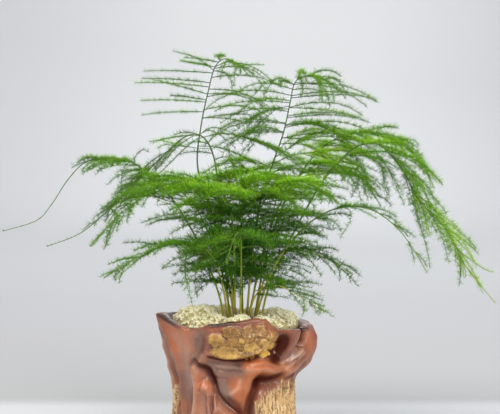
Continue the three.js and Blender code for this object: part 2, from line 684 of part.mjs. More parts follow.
function needleGeometry({ foot, heading, sideways, length }) {
  const needle = new THREE.ConeGeometry(NEEDLE_RADIUS, length, SHOOT_SIDES);
  needle.translate(0, length / 2, 0);
  const upright = new THREE.Matrix4().makeBasis(sideways, heading, sideways.clone().cross(heading));
  return needle.applyMatrix4(upright.setPosition(foot));
}

// A cane with its shoots and needles, joined into one piece.
function caneGeometry({ path, shoots, needles }) {
  const pieces = [
    bentRod(path, CANE_RADIUS, CANE_SIDES, CANE_FRONT),
    ...shoots.map(({ line, parent }) => bentRod(line, SHOOT_RADIUS, SHOOT_SIDES, parent)),
    ...needles.map(needleGeometry),
  ];
  return geometryOf(wasm.Manifold.union(pieces.map(solidOf)));
}

// The canes are placed first, then all shoots, then all needles, so that each keeps clear of what
// stands there already.
function growFern() {
  const canes = CANES.map((cane) => ({ ...cane, path: caneLine(cane) }));
  const wood = canes.flatMap(({ path }, owner) => probesOf(path).map((point) => ({ point, owner })));
  const shootsOf = canes.map((cane, owner) => growShoots(cane, owner, wood));
  const placed = [];
  return canes.map((cane, owner) => {
    const draw = dice(SEEDS.needles + SEEDS.step * owner);
    const grow = (wanted) => growNeedles(wanted, cane, owner, wood, placed, draw);
    const needles = shootsOf[owner].flatMap(({ line, parent }) => {
      const count = Math.round((lengthOf(line) * (1 - NEEDLE_START)) / NEEDLE_SPACING);
      return grow({ line, nearest: parent, sides: SHOOT_SIDES, start: NEEDLE_START, count });
    });
    const bareTip = { start: cane.shoots.to, count: NEEDLES_PER_TIP };
    needles.push(...grow({ line: cane.path, nearest: CANE_FRONT, sides: CANE_SIDES, ...bareTip }));
    return { ...cane, shoots: shootsOf[owner], needles };
  });
}

const material = (color, roughness) => new THREE.MeshStandardMaterial({ color, roughness, metalness: 0 });
const CLAY = material(0x9a5a3c, 0.42);
const SOIL = material(0x33241a, 0.95);
const MOSS = material(0xd9cf9c, 0.95);
const LEAF = material(0x3f8a2c, 0.6);

const plant = new THREE.Group();

function add(name, geometry, finish) {
  const mesh = new THREE.Mesh(geometry, finish.clone());
  mesh.name = name;
  plant.add(mesh);
}

add("pot", makePot(), CLAY);
add("soil", makeSoil(), SOIL);
TUFT_HEIGHTS.forEach((_, i) => add(`moss_tuft_${i + 1}`, makeTuft(i), MOSS));
growFern().forEach((cane) => add(cane.name, caneGeometry(cane), LEAF));

export default plant;
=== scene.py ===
"""A potted asparagus fern: a clay pot moulded like a weathered tree stump, a bed of soil, nine tufts of pale
reindeer moss, and twenty wiry canes with feathery green sprays. Lengths are in millimetres until they
reach a mesh. +Z is up, +X is the viewer's right and -Y is towards the viewer."""

import math

import bmesh
import bpy
import numpy as np
from mathutils import Matrix, Vector, noise


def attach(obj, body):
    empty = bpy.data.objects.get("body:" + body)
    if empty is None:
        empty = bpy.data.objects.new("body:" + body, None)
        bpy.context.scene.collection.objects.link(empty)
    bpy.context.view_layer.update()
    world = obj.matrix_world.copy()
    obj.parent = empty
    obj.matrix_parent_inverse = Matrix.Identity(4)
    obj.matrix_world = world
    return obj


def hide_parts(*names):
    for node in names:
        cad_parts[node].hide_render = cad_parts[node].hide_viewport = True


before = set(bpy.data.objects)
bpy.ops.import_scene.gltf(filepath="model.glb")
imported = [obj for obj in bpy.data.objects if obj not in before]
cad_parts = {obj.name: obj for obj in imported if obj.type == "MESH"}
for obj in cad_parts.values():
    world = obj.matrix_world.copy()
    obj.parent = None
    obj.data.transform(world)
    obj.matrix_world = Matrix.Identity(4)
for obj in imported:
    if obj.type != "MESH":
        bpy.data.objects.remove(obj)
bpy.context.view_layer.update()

bl_info = {
    "name": "Potted asparagus fern",
    "version": (1, 0, 0),
    "blender": (4, 5, 0),
    "location": "3D View > Sidebar > Fern",
    "description": "Builds a potted asparagus fern piece by piece",
    "category": "Add Mesh",
}

MM = 0.001
BODY = "root"
WELD = 1e-4  # points nearer than this are one

# Pot: the plain stump, its broken rim and its carving, as in the solid that the finished pot stands for.
CAVITY_RADIUS = 35
MOUTH_RADIUS = 51
CAVITY_FLOOR = 12
CAVITY_FLARE = (60, 102)
CAVITY_RINGS = (12, 60, 78, 92)
FRONT_FLATTENING = 0.05
UNROLLED_RADIUS = 50
STUMP = (
    (0, 50), (5, 50.5), (14, 48), (28, 46), (42, 45), (54, 46), (66, 49), (80, 53), (95, 56.5), (106, 58.5),
)
RIM = (
    (-98, 101), (-80, 104), (-62, 100), (-48, 97.5), (-41, 95.5), (-30, 98.5), (-20, 101.5), (0, 103.5),
    (16, 105.8), (25, 104.5), (30, 100.5), (37, 96), (50, 95), (60, 94), (67, 92.8), (76, 95), (88, 94),
    (105, 93.6), (125, 95), (150, 97), (172, 95.8), (195, 98.5), (213, 99.8), (232, 97.5), (248, 100),
)
# Each stroke: how far it stands out, its half width, and its middle line as angles from the front and
# heights.
CARVING = (
    (3.6, 5, ((-81, 104), (-80, 85), (-77, 60), (-75, 35), (-76, 0))),
    (2.6, 3.4, ((-74, 98), (-64, 80), (-61, 64), (-63, 42), (-55, 26), (-52, 0))),
    (-2, 3.5, ((-29, 92), (-35, 78), (-42, 68))),
    (2.4, 3.4, ((-20, 97), (-25, 82), (-36, 68))),
    (2.6, 9, ((-10, 89), (6, 91), (24, 90))),
    (-2.6, 3, ((-22, 72), (-8, 70.5), (8, 72.5))),
    (-2.2, 8, ((-24, 66), (-4, 65))),
    (4.6, 9, ((11, 64), (6, 57), (-3, 50))),
    (5, 5, ((10, 70), (24, 69), (38, 64.5), (50, 63.5), (62, 66), (72, 71))),
    (9, 10, ((90, 82), (88, 69))),
    (-2.4, 11, ((92, 48), (92, 20))),
    (-7, 7.5, ((42, 80), (41, 84))),
    (-4, 2.6, ((67, 96), (66, 82))),
    (-5, 6, ((22, 58), (32, 57), (43, 59))),
    (-4, 3.6, ((22, 56), (15, 45), (11, 31), (12, 14), (15, 0))),
    (5.4, 5.2, ((-38, 68), (-38, 55), (-40, 40), (-42, 20), (-47, 0))),
    (4.5, 4.4, ((-29, 53),)),
    (-4, 3.4, ((-28, 66), (-23, 58), (-19, 48), (-10, 41), (2, 34), (8, 24))),
    (3, 7, ((-16, 32), (-8, 28), (0, 20), (2, 4))),
    (3.5, 6, ((58, 34), (56, 16), (60, 0))),
    (3.5, 5.5, ((110, 96), (114, 70), (111, 40), (116, 0))),
    (-3, 5, ((125, 91), (123, 60), (127, 26))),
    (4.5, 6, ((138, 102), (132, 74), (141, 48), (136, 20), (142, 0))),
    (-6, 7, ((162, 58), (160, 64))),
    (3.5, 4.5, ((150, 72), (162, 76), (173, 71))),
    (2.6, 9, ((184, 88), (198, 86))),
    (5, 5.4, ((181, 60), (184, 40), (178, 18), (182, 0))),
    (-3.5, 4.5, ((200, 66), (205, 44), (200, 20))),
    (4, 5, ((222, 101), (226, 76), (218, 50), (224, 24), (220, 0))),
    (4, 4.6, ((237, 58),)),
    (-3, 5, ((245, 90), (250, 62), (246, 30))),
    (3.5, 5, ((262, 101), (264, 70), (258, 40), (262, 0))),
)
# Cracks, folds and small ridges that only the finished pot has.
FINE_CARVING = (
    (-2.6, 1.5, ((-23, 76.5), (-12, 74.4), (0, 74), (10, 76), (21, 79.5), (28, 82))),
    (1.6, 2, ((-22, 79.6), (-10, 77.6), (2, 77.4), (12, 79.6), (22, 83))),
    (-1.3, 0.8, ((-20, 67.4), (-10, 66.6), (-2, 67.6), (5, 67))),
    (-0.9, 0.8, ((-21, 61), (-14, 60.2), (-8, 61))),
    (1.1, 1.2, ((-18, 70), (-6, 70.4), (4, 69.6))),
    (-3.2, 3.4, ((40, 79), (43, 83))),
    (4.4, 1.7, ((36.5, 79.5),)),
    (2, 1.6, ((27, 80.5), (29, 77))),
    (-1.8, 1.1, ((27.6, 77.6),)),
    (-3.6, 1.6, ((66, 96), (66.5, 89), (64, 83))),
    (2.6, 2.2, ((72, 96), (72, 88), (69, 80), (60, 73))),
    (-1.4, 1.2, ((62, 83), (55, 77), (51, 71))),
    (1.6, 1.2, ((66, 79), (58, 74), (52, 69))),
    (-1.2, 0.9, ((70, 77), (62, 69.5), (54, 65))),
    (1.3, 1.4, ((12, 72.5), (24, 74), (38, 69.5), (50, 68))),
    (-1, 1, ((15, 70.4), (27, 70.4), (38, 66))),
    (-2, 1.3, ((-44, 71.5), (-39, 74), (-34, 72), (-31, 67))),
    (-1.4, 1, ((-31, 60), (-34, 56.4), (-35, 50))),
    (1.2, 1.6, ((-45, 62), (-46, 46), (-49, 28), (-53, 4))),
    (-1.5, 1.2, ((-42, 52), (-45, 36), (-48, 14))),
    (2.2, 1.9, ((-27, 47), (-28, 40), (-26, 32))),
    (2, 1.7, ((-21, 45), (-20, 38), (-22, 31))),
    (-1.5, 1.1, ((-24, 46), (-24, 33))),
    (-2, 1.5, ((-83, 96), (-77, 76), (-71, 55), (-68, 36))),
    (1.4, 1.3, ((-86, 92), (-81, 70), (-76, 48))),
    (-1.1, 0.9, ((-70, 92), (-66, 78), (-64, 66))),
    (-1.4, 0.8, ((60, 58), (64, 50), (65, 40), (69, 32), (68, 18))),
    (1.4, 1.1, ((63, 60), (67, 50), (68, 40), (72, 30))),
    (-1.1, 1, ((-33, 90), (-38, 80), (-44, 74))),
    (1.3, 1.6, ((-3, 31), (4, 26), (7, 12))),
    (-1.4, 1.1, ((-14, 26), (-8, 16), (-9, 2))),
    (-1.6, 1.2, ((96, 96), (99, 72), (95, 46), (98, 12))),
    (-1.5, 1, ((130, 88), (127, 66), (133, 40), (129, 14))),
    (1.6, 1.4, ((149, 94), (146, 70), (151, 46), (147, 20))),
    (-3, 3, ((161, 60),)),
    (2, 1.6, ((152, 62), (156, 52), (165, 50), (171, 58), (169, 68))),
    (-2, 1.2, ((172, 79), (184, 77), (198, 78), (211, 82))),
    (-1.5, 1, ((191, 58), (193, 36), (189, 12))),
    (1.7, 1.5, ((211, 68), (213, 44), (209, 16))),
    (-1.6, 1.1, ((232, 92), (236, 70), (231, 44), (235, 14))),
    (2, 1.7, ((241, 62), (244, 52))),
    (-1.4, 1, ((254, 82), (256, 58), (252, 26))),
)
# Lumps of the gold bark under the rim: angle and height of the middle, half width, half height, and how light
# each is.
GOLD_LUMPS = (
    (-6.5, 81.8, 10.5, 4.6, 0.75), (-14.5, 90.3, 5, 5, 0.6), (-2.5, 97, 6.2, 4.3, 0.2),
    (-1.5, 89.6, 5.8, 3.3, 0.5), (9.5, 95, 4.6, 6, 0.4), (12, 85.4, 5.6, 3.9, 0.8), (19.4, 97.5, 4, 5, 0.45),
    (22, 88.2, 5, 4.5, 0.7), (28.5, 92.2, 5, 4.7, 0.55), (10.5, 79.6, 5.2, 2.6, 0.35),
    (24.5, 80.6, 3.2, 3.4, 1), (4.4, 90.6, 2.5, 2.2, 0.9), (16.4, 91, 2.3, 2.8, 0.5),
    (17.5, 81.8, 2.8, 2.5, 0.6), (30.5, 85.8, 2.8, 2.5, 0.9), (3.6, 84.8, 2.3, 2.8, 0.4),
    (176, 92, 6, 4.8, 0.6), (189, 94.4, 6.6, 4, 0.45), (203, 92.5, 6, 4.5, 0.7), (212, 88, 4, 4.6, 0.5),
    (173, 84, 5, 3.6, 0.4), (184, 85.4, 6, 4.2, 0.8), (196, 84.6, 5.6, 3.7, 0.55), (206, 85, 4, 3.2, 0.7),
)
# String bark: the angles that a patch spans, and its lower and upper ends as angles and heights.
STRING_BARK = (
    {"angles": (19, 84), "low": ((19, -9), (84, -9)),
     "high": ((19, 42), (30, 48), (44, 53), (60, 57), (84, 46))},
    {"angles": (-84, -70), "low": ((-84, 6), (-70, 20)), "high": ((-84, 46), (-70, 50))},
    {"angles": (108, 134), "low": ((108, 10), (134, 4)), "high": ((108, 58), (134, 70))},
    {"angles": (226, 262), "low": ((226, 4), (262, 14)), "high": ((226, 52), (262, 44))},
)
# How such a patch fades: degrees before its start that still count as beside it, millimetres that a degree
# takes, and the width of its soft edge.
PATCH = {"margin": 60, "degree": 0.87, "edge": 1.2}
# Where the glaze is warm orange and where it is mauve grey, as strokes.
WARM_GLAZE = (
    (1, 9, ((-60, 96), (-55, 84), (-52, 74))),
    (0.8, 6, ((-40, 92), (-40, 84))),
    (1, 9, ((11, 64), (6, 57), (2, 50))),
    (0.9, 6, ((10, 70), (23, 71), (38, 67), (49, 65))),
    (0.9, 5, ((-29, 53),)),
    (0.7, 6, ((-38, 66), (-38, 58))),
    (0.8, 7, ((-2, 28), (3, 16))),
    (0.7, 7, ((76, 88), (78, 80))),
    (0.8, 9, ((138, 92), (134, 74), (140, 50))),
    (0.7, 8, ((181, 56), (184, 36))),
    (0.8, 9, ((224, 92), (224, 70), (220, 48))),
    (0.7, 8, ((264, 84), (262, 62))),
)
GREY_GLAZE = (
    (1.2, 6, ((-24, 68), (-8, 67), (2, 68))),
    (0.9, 5, ((-16, 56), (-10, 50))),
    (0.9, 6, ((-31, 92), (-34, 80), (-36, 72))),
    (0.6, 7, ((-48, 78), (-52, 60), (-54, 44))),
    (0.7, 6, ((-12, 52), (-6, 42))),
    (0.7, 7, ((-46, 30), (-50, 10))),
    (0.8, 6, ((22, 34), (16, 20), (14, 4))),
    (0.6, 7, ((60, 78), (54, 72))),
    (0.8, 7, ((120, 84), (119, 60))),
    (0.8, 7, ((150, 60), (170, 52))),
    (0.8, 7, ((202, 60), (203, 34))),
    (0.8, 7, ((247, 84), (249, 60), (247, 34))),
)
# Painted shade almost black in hollows and cracks, painted highlights and a pale strip, and dark stretches of
# rim.
PAINTED_SHADE_STROKES = (
    (2.4, 7.5, ((38, 80), (41, 84.5))),
    (1, 2.6, ((67, 97), (66.5, 86))),
    (0.9, 1.3, ((-23, 77), (-12, 75), (0, 74.4), (10, 76))),
    (0.7, 2.6, ((12, 76.5), (20, 78.5), (26, 80))),
    (1, 3, ((-30, 69), (-27, 65), (-23, 59))),
    (0.5, 1.5, ((-22, 56), (-10, 43), (0, 36), (6, 28))),
    (0.8, 5, ((24, 60), (32, 59), (43, 61))),
    (0.65, 5, ((20, 55), (16, 42), (13, 20), (15, 0))),
    (0.7, 2, ((-45, 70), (-39, 73), (-33, 71))),
    (0.5, 2, ((-68, 86), (-64, 66))),
    (0.5, 3, ((54, 58), (66, 60), (76, 66))),
    (0.55, 3, ((-6, 46), (2, 41), (6, 34))),
    (0.45, 3, ((-24, 90), (-28, 82))),
    (1.2, 5.5, ((161, 61),)),
    (0.6, 2.6, ((125, 88), (123, 60), (127, 28))),
    (0.6, 2.6, ((200, 64), (204, 44), (200, 22))),
    (0.6, 2.6, ((246, 88), (250, 62), (246, 32))),
)
# Painted highlights on ridges, the branch and the knot's nub, painted light on the left wall, and a pale
# strip at the far left.
HIGHLIGHT_AND_PALE_STRIP_STROKES = (
    (2, 1.1, ((36.6, 79.6),)),
    (0.35, 8, ((-48, 88), (-46, 70), (-47, 56))),
    (0.35, 5, ((-30, 50), (-31, 34), (-32, 20))),
    (0.8, 2.4, ((-86, 98), (-81, 76), (-77, 50), (-75, 20))),
    (0.7, 1.1, ((44, 70), (56, 73), (66, 79))),
    (0.6, 1, ((48, 66.6), (60, 70), (72, 76))),
    (0.6, 1.4, ((4, 60), (2, 54), (-4, 50))),
    (0.6, 1.2, ((-39, 62), (-40, 44), (-43, 22))),
    (0.5, 1.2, ((-20, 70), (-8, 69), (2, 68.4))),
    (0.7, 1.6, ((138, 90), (133, 74), (140, 50))),
    (0.7, 1.6, ((222, 90), (226, 72), (219, 48))),
)
DARK_RIM = (
    (1, 7, ((-73, 102), (-58, 99))),
    (1, 6, ((-17, 102), (-3, 103))),
    (0.8, 4, ((64, 94), (73, 94))),
    (0.9, 8, ((118, 95), (134, 95))),
    (0.9, 6, ((170, 96), (180, 96))),
    (0.9, 9, ((236, 98), (252, 100))),
)
GLAZE_AND_PAINTED_LIGHT = {"warm": WARM_GLAZE, "grey": GREY_GLAZE, "dark": PAINTED_SHADE_STROKES, "pale": HIGHLIGHT_AND_PALE_STRIP_STROKES}
POT_MASKS = (
    "gold", "string", "tone", "crack", "hollow", "crest", "warm", "grey", "dark", "pale", "edge", "inside",
)
# Noise on the pot's skin: the size of its lumps, or sizes along X, Y and Z on the unrolled skin, and its
# detail.
SKIN_NOISE = {
    "warp": (14, 2), "ragged": (3.4, 2), "shift": (3, 1), "crumbs": (2.4, 2), "rim": (3.2, 2),
    "rim_grain": (1.5, 0), "grain": ((1.7, 1, 26), 3), "fine_grain": ((0.9, 1, 12), 2),
    "strands": ((1.25, 1, 26), 3), "fibres": ((1.1, 1, 9), 2),
}
# How far the skin's relief stands out: the wood's grain, the gold bark's floor, lumps and crumbs, and the
# string bark's strands and what lies between them.
RELIEF = {
    "grain": 0.3, "fine_grain": 0.1, "floor": -0.5, "lumps": 2.3, "crumbs": 1.1,
    "strands": 1.5, "between": -0.4,
}
# Painted shade in hollows and painted highlights on crests show against the carving blurred by some
# millimetres, and are full at these depths.
SUNK = {"coarse_blur": 6, "fine_blur": 4, "hollow": 4, "crest": 2.6}
# The rim: the height and roughness of its lip, the roughness of the wall's edge, how calm the wall's relief
# gets there and over which height, and how far down the dark edge runs.
LIP = {"height": 1.1, "rough": 0.5, "edge": 0.3, "calm": 0.45, "calm_over": 4, "dark_over": 1.8}
# Colours of the pot's coat that no setting changes, painted highlights among them.
COAT = {
    "brown_cloud": "#7b432e", "dark_streak": "#5d2d1d", "pale_streak": "#ba7d57", "crest_highlight": "#c08664",
    "speck": "#5a2a1e", "highlight_and_pale_strip": "#d0a68c", "rim_edge": "#2c1510", "inside": "#6b4534",
    "dark_gold": "#5e3a12", "pale_gold": "#d4a856", "gold_cloud": "#85602a", "gold_crumb": "#deb96c",
    "gold_streak": "#5c3a14", "gold_crack": "#3a1e0c",
    "pale_string": "#e4c692", "string_cloud": "#a9713f", "string_crack": "#603921",
}
POT_COLUMNS = 340
POT_BANDS = 130
LIP_BANDS = 6
FRONT_BIAS = 0.3  # share by which the columns crowd together at the front
RING = {"outer": 4, "lip": 3, "hollow": 1, "axis": 0}  # radii of the plain profile, which name its rings

# Soil and moss
SOIL_TOP = 92
GAP = 0.4  # between pieces that touch
SOIL_RINGS = 22
SOIL_COLUMNS = 96
CROWN = (4, 0)
CROWN_CLEARING = 18.5
CRUMBS = {"count": 320, "past_clearing": 5, "lift": 0.2, "sizes": (0.5, 1.5), "squash": 0.7}
TUFT_HEIGHTS = (13, 11.5, 12.5, 11, 9, 11.5, 14, 16.5, 13)
TUFT_SPACING = math.radians(1.3)
LUMPS_PER_TUFT = 9
LUMP = {"radius": 5, "height": 2.6, "spread": (0.1, 0.9)}
TUFT_EDGE = 5
TUFT_INSET = 1.2
TUFT_CELLS = 22
# Knobs of a tuft's cushion: their size, the creases between them, the share that is sunk, and their height.
KNOBS = {"size": 3.4, "crease": 0.32, "sink": 0.8, "height": 1.7}
# Tips of moss on a tuft. deepest is how light the painted shade at their feet is beside their tips.
SPRIGS = {
    "count": 190, "sizes": (1.1, 2.3), "over_edge": 0.03, "slope_step": 0.04, "stray": 0.35, "sink": 0.5,
    "deepest": 0.2,
}
SEEDS = {"tuft": 81173, "shoots": 36495, "step": 7919, "sprigs": 31, "crumbs": 57, "foliage": 613}

# Canes, as in the solids that they stand for: name, needle length, points, and the shoots' from, to, count,
# lengths at start, middle and end, lean, turn and droop of the two sides. fill is how many finer shoots stand
# between two of the solid's, twig how long the usual twig is and end its share at the tip, fuzz how far the
# flat of the spray is left, and tone how bright the spray is, as painted light and shade. A cane says only
# what isn't usual.
USUAL_CANE = {"needle": 5, "fill": 1.8, "twig": 10, "end": 0.8, "fuzz": 0.9}
OWN_CANES = (
    {"name": "tall_left", "needle": 3.4, "fill": 0.5, "twig": 7, "end": 0.5, "fuzz": 0.35, "tone": 0.48,
     "line": ((-1, 5, 98), (-10, 12, 145), (-22, 19, 188), (-30, 21, 216), (-27, 21, 246), (-21, 20, 274),
              (-16, 19, 291), (-8, 17, 297), (2, 14, 292), (11, 11, 283)),
     "shoots": (0.69, 0.95, 17, (52, 50, 30), 80, 180, (1.2, 0.2))},
    {"name": "tall_right", "needle": 4.6, "fill": 1.2, "twig": 8, "end": 0.25, "fuzz": 0.8, "tone": 0.55,
     "line": ((8, 2.5, 98), (12, 6, 145), (18, 8, 185), (27, 10, 214), (36, 12, 240), (41, 12, 262),
              (45, 12, 279), (55, 12, 284), (67, 11, 281), (80, 9, 274)),
     "shoots": (0.65, 0.94, 17, (62, 60, 34), 68, 180, (1.1, 1.5))},
    {"name": "right_arch", "fill": 1.7, "twig": 9, "end": 0.6, "tone": 0.68,
     "line": ((19, -2, 98), (25, -6, 124), (41, -10, 161), (63, -10, 201), (80, -8, 222), (96, -5, 233),
              (110, -3, 231), (127, 0, 212), (137, 2, 193), (151, 3, 177), (164, 4, 162), (175, 5, 140),
              (199, 5, 110)),
     "shoots": (0.46, 0.9, 15, (44, 52, 16), 36, 180, (1.2, 0.8))},
    {"name": "right_far", "fill": 2, "twig": 9, "tone": 0.62,
     "line": ((14, 5, 98), (24, 14, 150), (42, 22, 196), (66, 26, 228), (90, 28, 239), (112, 28, 238),
              (132, 26, 228), (146, 24, 212), (153, 21, 197)),
     "shoots": (0.44, 0.94, 13, (44, 46, 16), 44, 180, (1.1, 0.9))},
    {"name": "right_front", "fill": 0.4, "twig": 6, "fuzz": 0.8, "tone": 0.4,
     "line": ((14, -7, 98), (28, -22, 140), (50, -38, 172), (74, -50, 188), (98, -58, 188), (117, -62, 175),
              (130, -65, 158), (139, -66, 142)),
     "shoots": (0.38, 0.92, 10, (26, 30, 12), 42, 180, (1, 1))},
    {"name": "left_arch", "needle": 4.2, "fill": 3, "twig": 9, "tone": 0.42,
     "line": ((-9, -4, 98), (-14, -8, 122), (-29, -12, 160), (-46, -13, 189), (-62, -12, 207), (-80, -8, 220),
              (-99, -6, 222), (-114, -6, 219), (-127, -7, 206), (-139, -8, 188), (-151, -8, 175),
              (-177, -8, 167)),
     "shoots": (0.44, 0.66, 9, (18, 28, 22), 50, 180, (1, 1))},
    {"name": "left_over", "needle": 4.6, "fill": 0.9, "twig": 7, "fuzz": 0.8, "tone": 0.3,
     "line": ((-5, 1, 98), (-9, 3, 145), (-13, 6, 190), (-17, 8, 222), (-26, 9, 238), (-40, 9, 237),
              (-60, 6, 219), (-88, 0, 191), (-103, -2, 177), (-120, -4, 164), (-144, -6, 155)),
     "shoots": (0.42, 0.86, 10, (20, 22, 12), 38, 180, (0.8, 0.8))},
    {"name": "shelf_left", "fill": 2.1, "twig": 9, "end": 0.35, "tone": 0.58,
     "line": ((-1, -9.5, 98), (-1, -19, 145), (-4, -28, 184), (-16, -36, 203), (-36, -42, 208),
              (-58, -46, 202), (-78, -49, 189), (-94, -51, 174), (-106, -52, 160)),
     "shoots": (0.36, 0.95, 13, (46, 50, 16), 52, 180, (0.6, 0.6))},
    {"name": "shelf_right", "fill": 2.8, "end": 0.6, "fuzz": 0.8, "tone": 0.7,
     "line": ((8, -5, 98), (12, -16, 145), (18, -26, 184), (30, -32, 203), (46, -36, 207), (62, -39, 201),
              (76, -41, 190)),
     "shoots": (0.4, 0.95, 11, (44, 46, 18), 54, 180, (0.6, 0.6))},
    {"name": "low_left", "needle": 4.8, "fill": 2.6, "twig": 9, "end": 0.3, "fuzz": 0.8, "tone": 0.5,
     "line": ((-6, -9, 98), (-10, -18, 126), (-18, -27, 150), (-33, -34, 161), (-51, -40, 160),
              (-70, -45, 152), (-95, -50, 138)),
     "shoots": (0.3, 0.95, 11, (34, 36, 12), 46, 180, (0.6, 0.6))},
    {"name": "low_right", "needle": 4.8, "fill": 1.1, "twig": 8, "end": 0.3, "fuzz": 0.8, "tone": 0.36,
     "line": ((14, -1.5, 98), (20, -10, 126), (28, -18, 146), (42, -24, 155), (58, -28, 152), (74, -31, 146),
              (87, -33, 137)),
     "shoots": (0.3, 0.95, 9, (30, 34, 12), 46, 180, (0.7, 0.7))},
    {"name": "skirt_right", "needle": 4.4, "fill": 1.6, "twig": 7, "fuzz": 0.8, "tone": 0.34,
     "line": ((9, -10, 98), (14, -20, 118), (24, -30, 129), (38, -38, 127), (52, -44, 119), (66, -48, 111)),
     "shoots": (0.34, 0.94, 8, (22, 26, 10), 42, 180, (0.5, 0.5))},
    {"name": "front", "needle": 4.8, "fill": 1.4, "twig": 8, "fuzz": 1, "tone": 0.34,
     "line": ((3, -12.5, 98), (4, -30, 136), (4, -54, 164), (2, -76, 173), (-2, -94, 167), (-6, -108, 154)),
     "shoots": (0.34, 0.94, 10, (40, 42, 14), 52, 180, (0.7, 0.7))},
    {"name": "back_left", "needle": 4.8, "tone": 0.38,
     "line": ((-4, 9, 98), (-14, 24, 142), (-32, 44, 180), (-54, 62, 197), (-76, 78, 195), (-94, 90, 180),
              (-106, 98, 162)),
     "shoots": (0.36, 0.94, 11, (36, 38, 14), 50, 180, (0.9, 0.9))},
    {"name": "back_right", "needle": 4.8, "tone": 0.42,
     "line": ((10, 8.5, 98), (20, 26, 145), (38, 46, 190), (62, 64, 212), (86, 78, 210), (106, 90, 194),
              (118, 98, 176)),
     "shoots": (0.36, 0.94, 11, (42, 46, 16), 50, 180, (0.9, 0.9))},
    {"name": "back", "needle": 4.8, "tone": 0.38,
     "line": ((5, 10, 98), (4, 32, 150), (6, 58, 192), (8, 84, 208), (8, 106, 200), (6, 122, 184)),
     "shoots": (0.38, 0.94, 10, (42, 44, 16), 52, 180, (0.8, 0.8))},
    {"name": "low_back", "needle": 4.6, "tone": 0.3,
     "line": ((0, 12.5, 98), (-4, 32, 128), (-8, 56, 148), (-10, 78, 150), (-10, 96, 142), (-8, 110, 130)),
     "shoots": (0.32, 0.94, 9, (36, 38, 12), 54, 180, (0.7, 0.7))},
    {"name": "heart_left", "fill": 3.6, "fuzz": 2.4, "tone": 0.3,
     "line": ((-1.5, -3, 98), (-4, -5, 130), (-10, -6, 160), (-17, -6, 186), (-24, -5, 205)),
     "shoots": (0.28, 0.94, 12, (34, 44, 24), 70, 137.5, (0.9, 0.7))},
    {"name": "heart_right", "fill": 3.8, "fuzz": 2.4, "tone": 0.32,
     "line": ((9, -1, 98), (16, -3, 130), (24, -4, 160), (30, -2, 188), (31, 2, 208)),
     "shoots": (0.28, 0.94, 12, (34, 44, 24), 70, 137.5, (0.9, 0.7))},
    {"name": "heart", "fill": 4, "fuzz": 2.4, "tone": 0.34,
     "line": ((3.5, -3.5, 98), (4, -1, 130), (4, 1, 165), (2, 0, 195), (-3, -2, 220)),
     "shoots": (0.28, 0.94, 12, (36, 44, 30), 70, 137.5, (0.9, 0.7))},
)
CANES = [{**USUAL_CANE, **own} for own in OWN_CANES]

# Growth of the solids' shoots, which the finished sprays follow.
ROOT_DEPTH = 6
LINE_STEPS = 2
LEAST_BEND = math.radians(7)
SHOOT_REACH = 28
SHOOT_LENGTHS = (0.82, 1.18)
SHOOT_JITTER = math.radians(20)
SHOOT_STRAY = 0.35
SHOOT_RISE = math.radians(5)
RISE_JITTER = math.radians(8)
DROOP_SHARES = (0.5, 1.5)
UPRIGHT = 0.55
FLATNESS = 0.12
TRIES = 7
TRY_TURN = math.radians(14)
PROBE = 2
SHOOT_CLEARANCE = 3.4
MOSS_CLEARANCE = {"radius": 64, "height": 113}

# Finer growth. Lengths are in millimetres, leans in degrees, turns in radians and the rest shares.
FINE_LINE_STEPS = 8
# The shoots between the solid's. sway and rise are beside the solid's, and tip beside a needle's length.
FINER = {"stray": 0.9, "lengths": (0.55, 1.2), "sway": 1.4, "rise": 1.5, "tip": 0.6, "steps": 6}
CANE_RADII = (0.86, 0.26)  # at the foot and at the tip
SHOOT_RADII = (0.33, 0.14)
TAPER = 1.6  # power by which wood thins along its length
# Twigs stand from start to end of a shoot, grow longest where opening ends, and shrink by taper to its tip.
TWIG = {
    "spacing": 2.9, "radius": 0.16, "start": 0.08, "end": 0.96, "stray": 0.35, "within": (0.02, 0.98),
    "lean": 50, "lean_stray": 12, "rise": (0.03, 0.18), "opening": 0.16, "first": 0.35, "taper": 0.75,
    "share": (0.6, 1.25), "full_shoot": 40, "longest": 1.15,
}
NEEDLE = {
    "spacing": 1.5, "radius": 0.19, "per_whorl": 3, "turn_stray": 0.4, "lean": 58, "lean_stray": 10,
    "share": (0.65, 1.15), "lift": 0.35, "upward": 0.25,
}
# Where the needles stand on twigs, on shoots and at a cane's end, and their size beside the cane's own.
ON_TWIG = {"reach": 0.9, "bare": 0.12, "span": 0.86, "size": 0.9}
ON_SHOOT = {"spacing": 1.1, "end": 0.98}
ON_CANE = {"whorls": 14, "end": 0.995, "size": 0.6}
# Spots where the needles are darker, as painted shade deep in the foliage, and brighter, partly as painted
# light on the sunlit sprays and partly yellower low by the canes: middle, reach, and change of tone.
TONE_SPOTS = (
    ((6, -10, 160), (46, 60, 34), -0.6),
    ((-14, -18, 146), (12, 12, 10), 0.35),
    ((4, -30, 203), (48, 34, 11), 0.24),
    ((-84, -46, 180), (34, 34, 26), -0.08),
    ((78, -36, 186), (24, 30, 22), -0.2),
    ((70, 6, 230), (34, 40, 18), 0.32),
    ((108, 0, 180), (18, 24, 8), 0.35),
    ((166, 4, 150), (30, 24, 42), 0.6),
    ((-22, -14, 150), (9, 14, 8), 0.6),
)
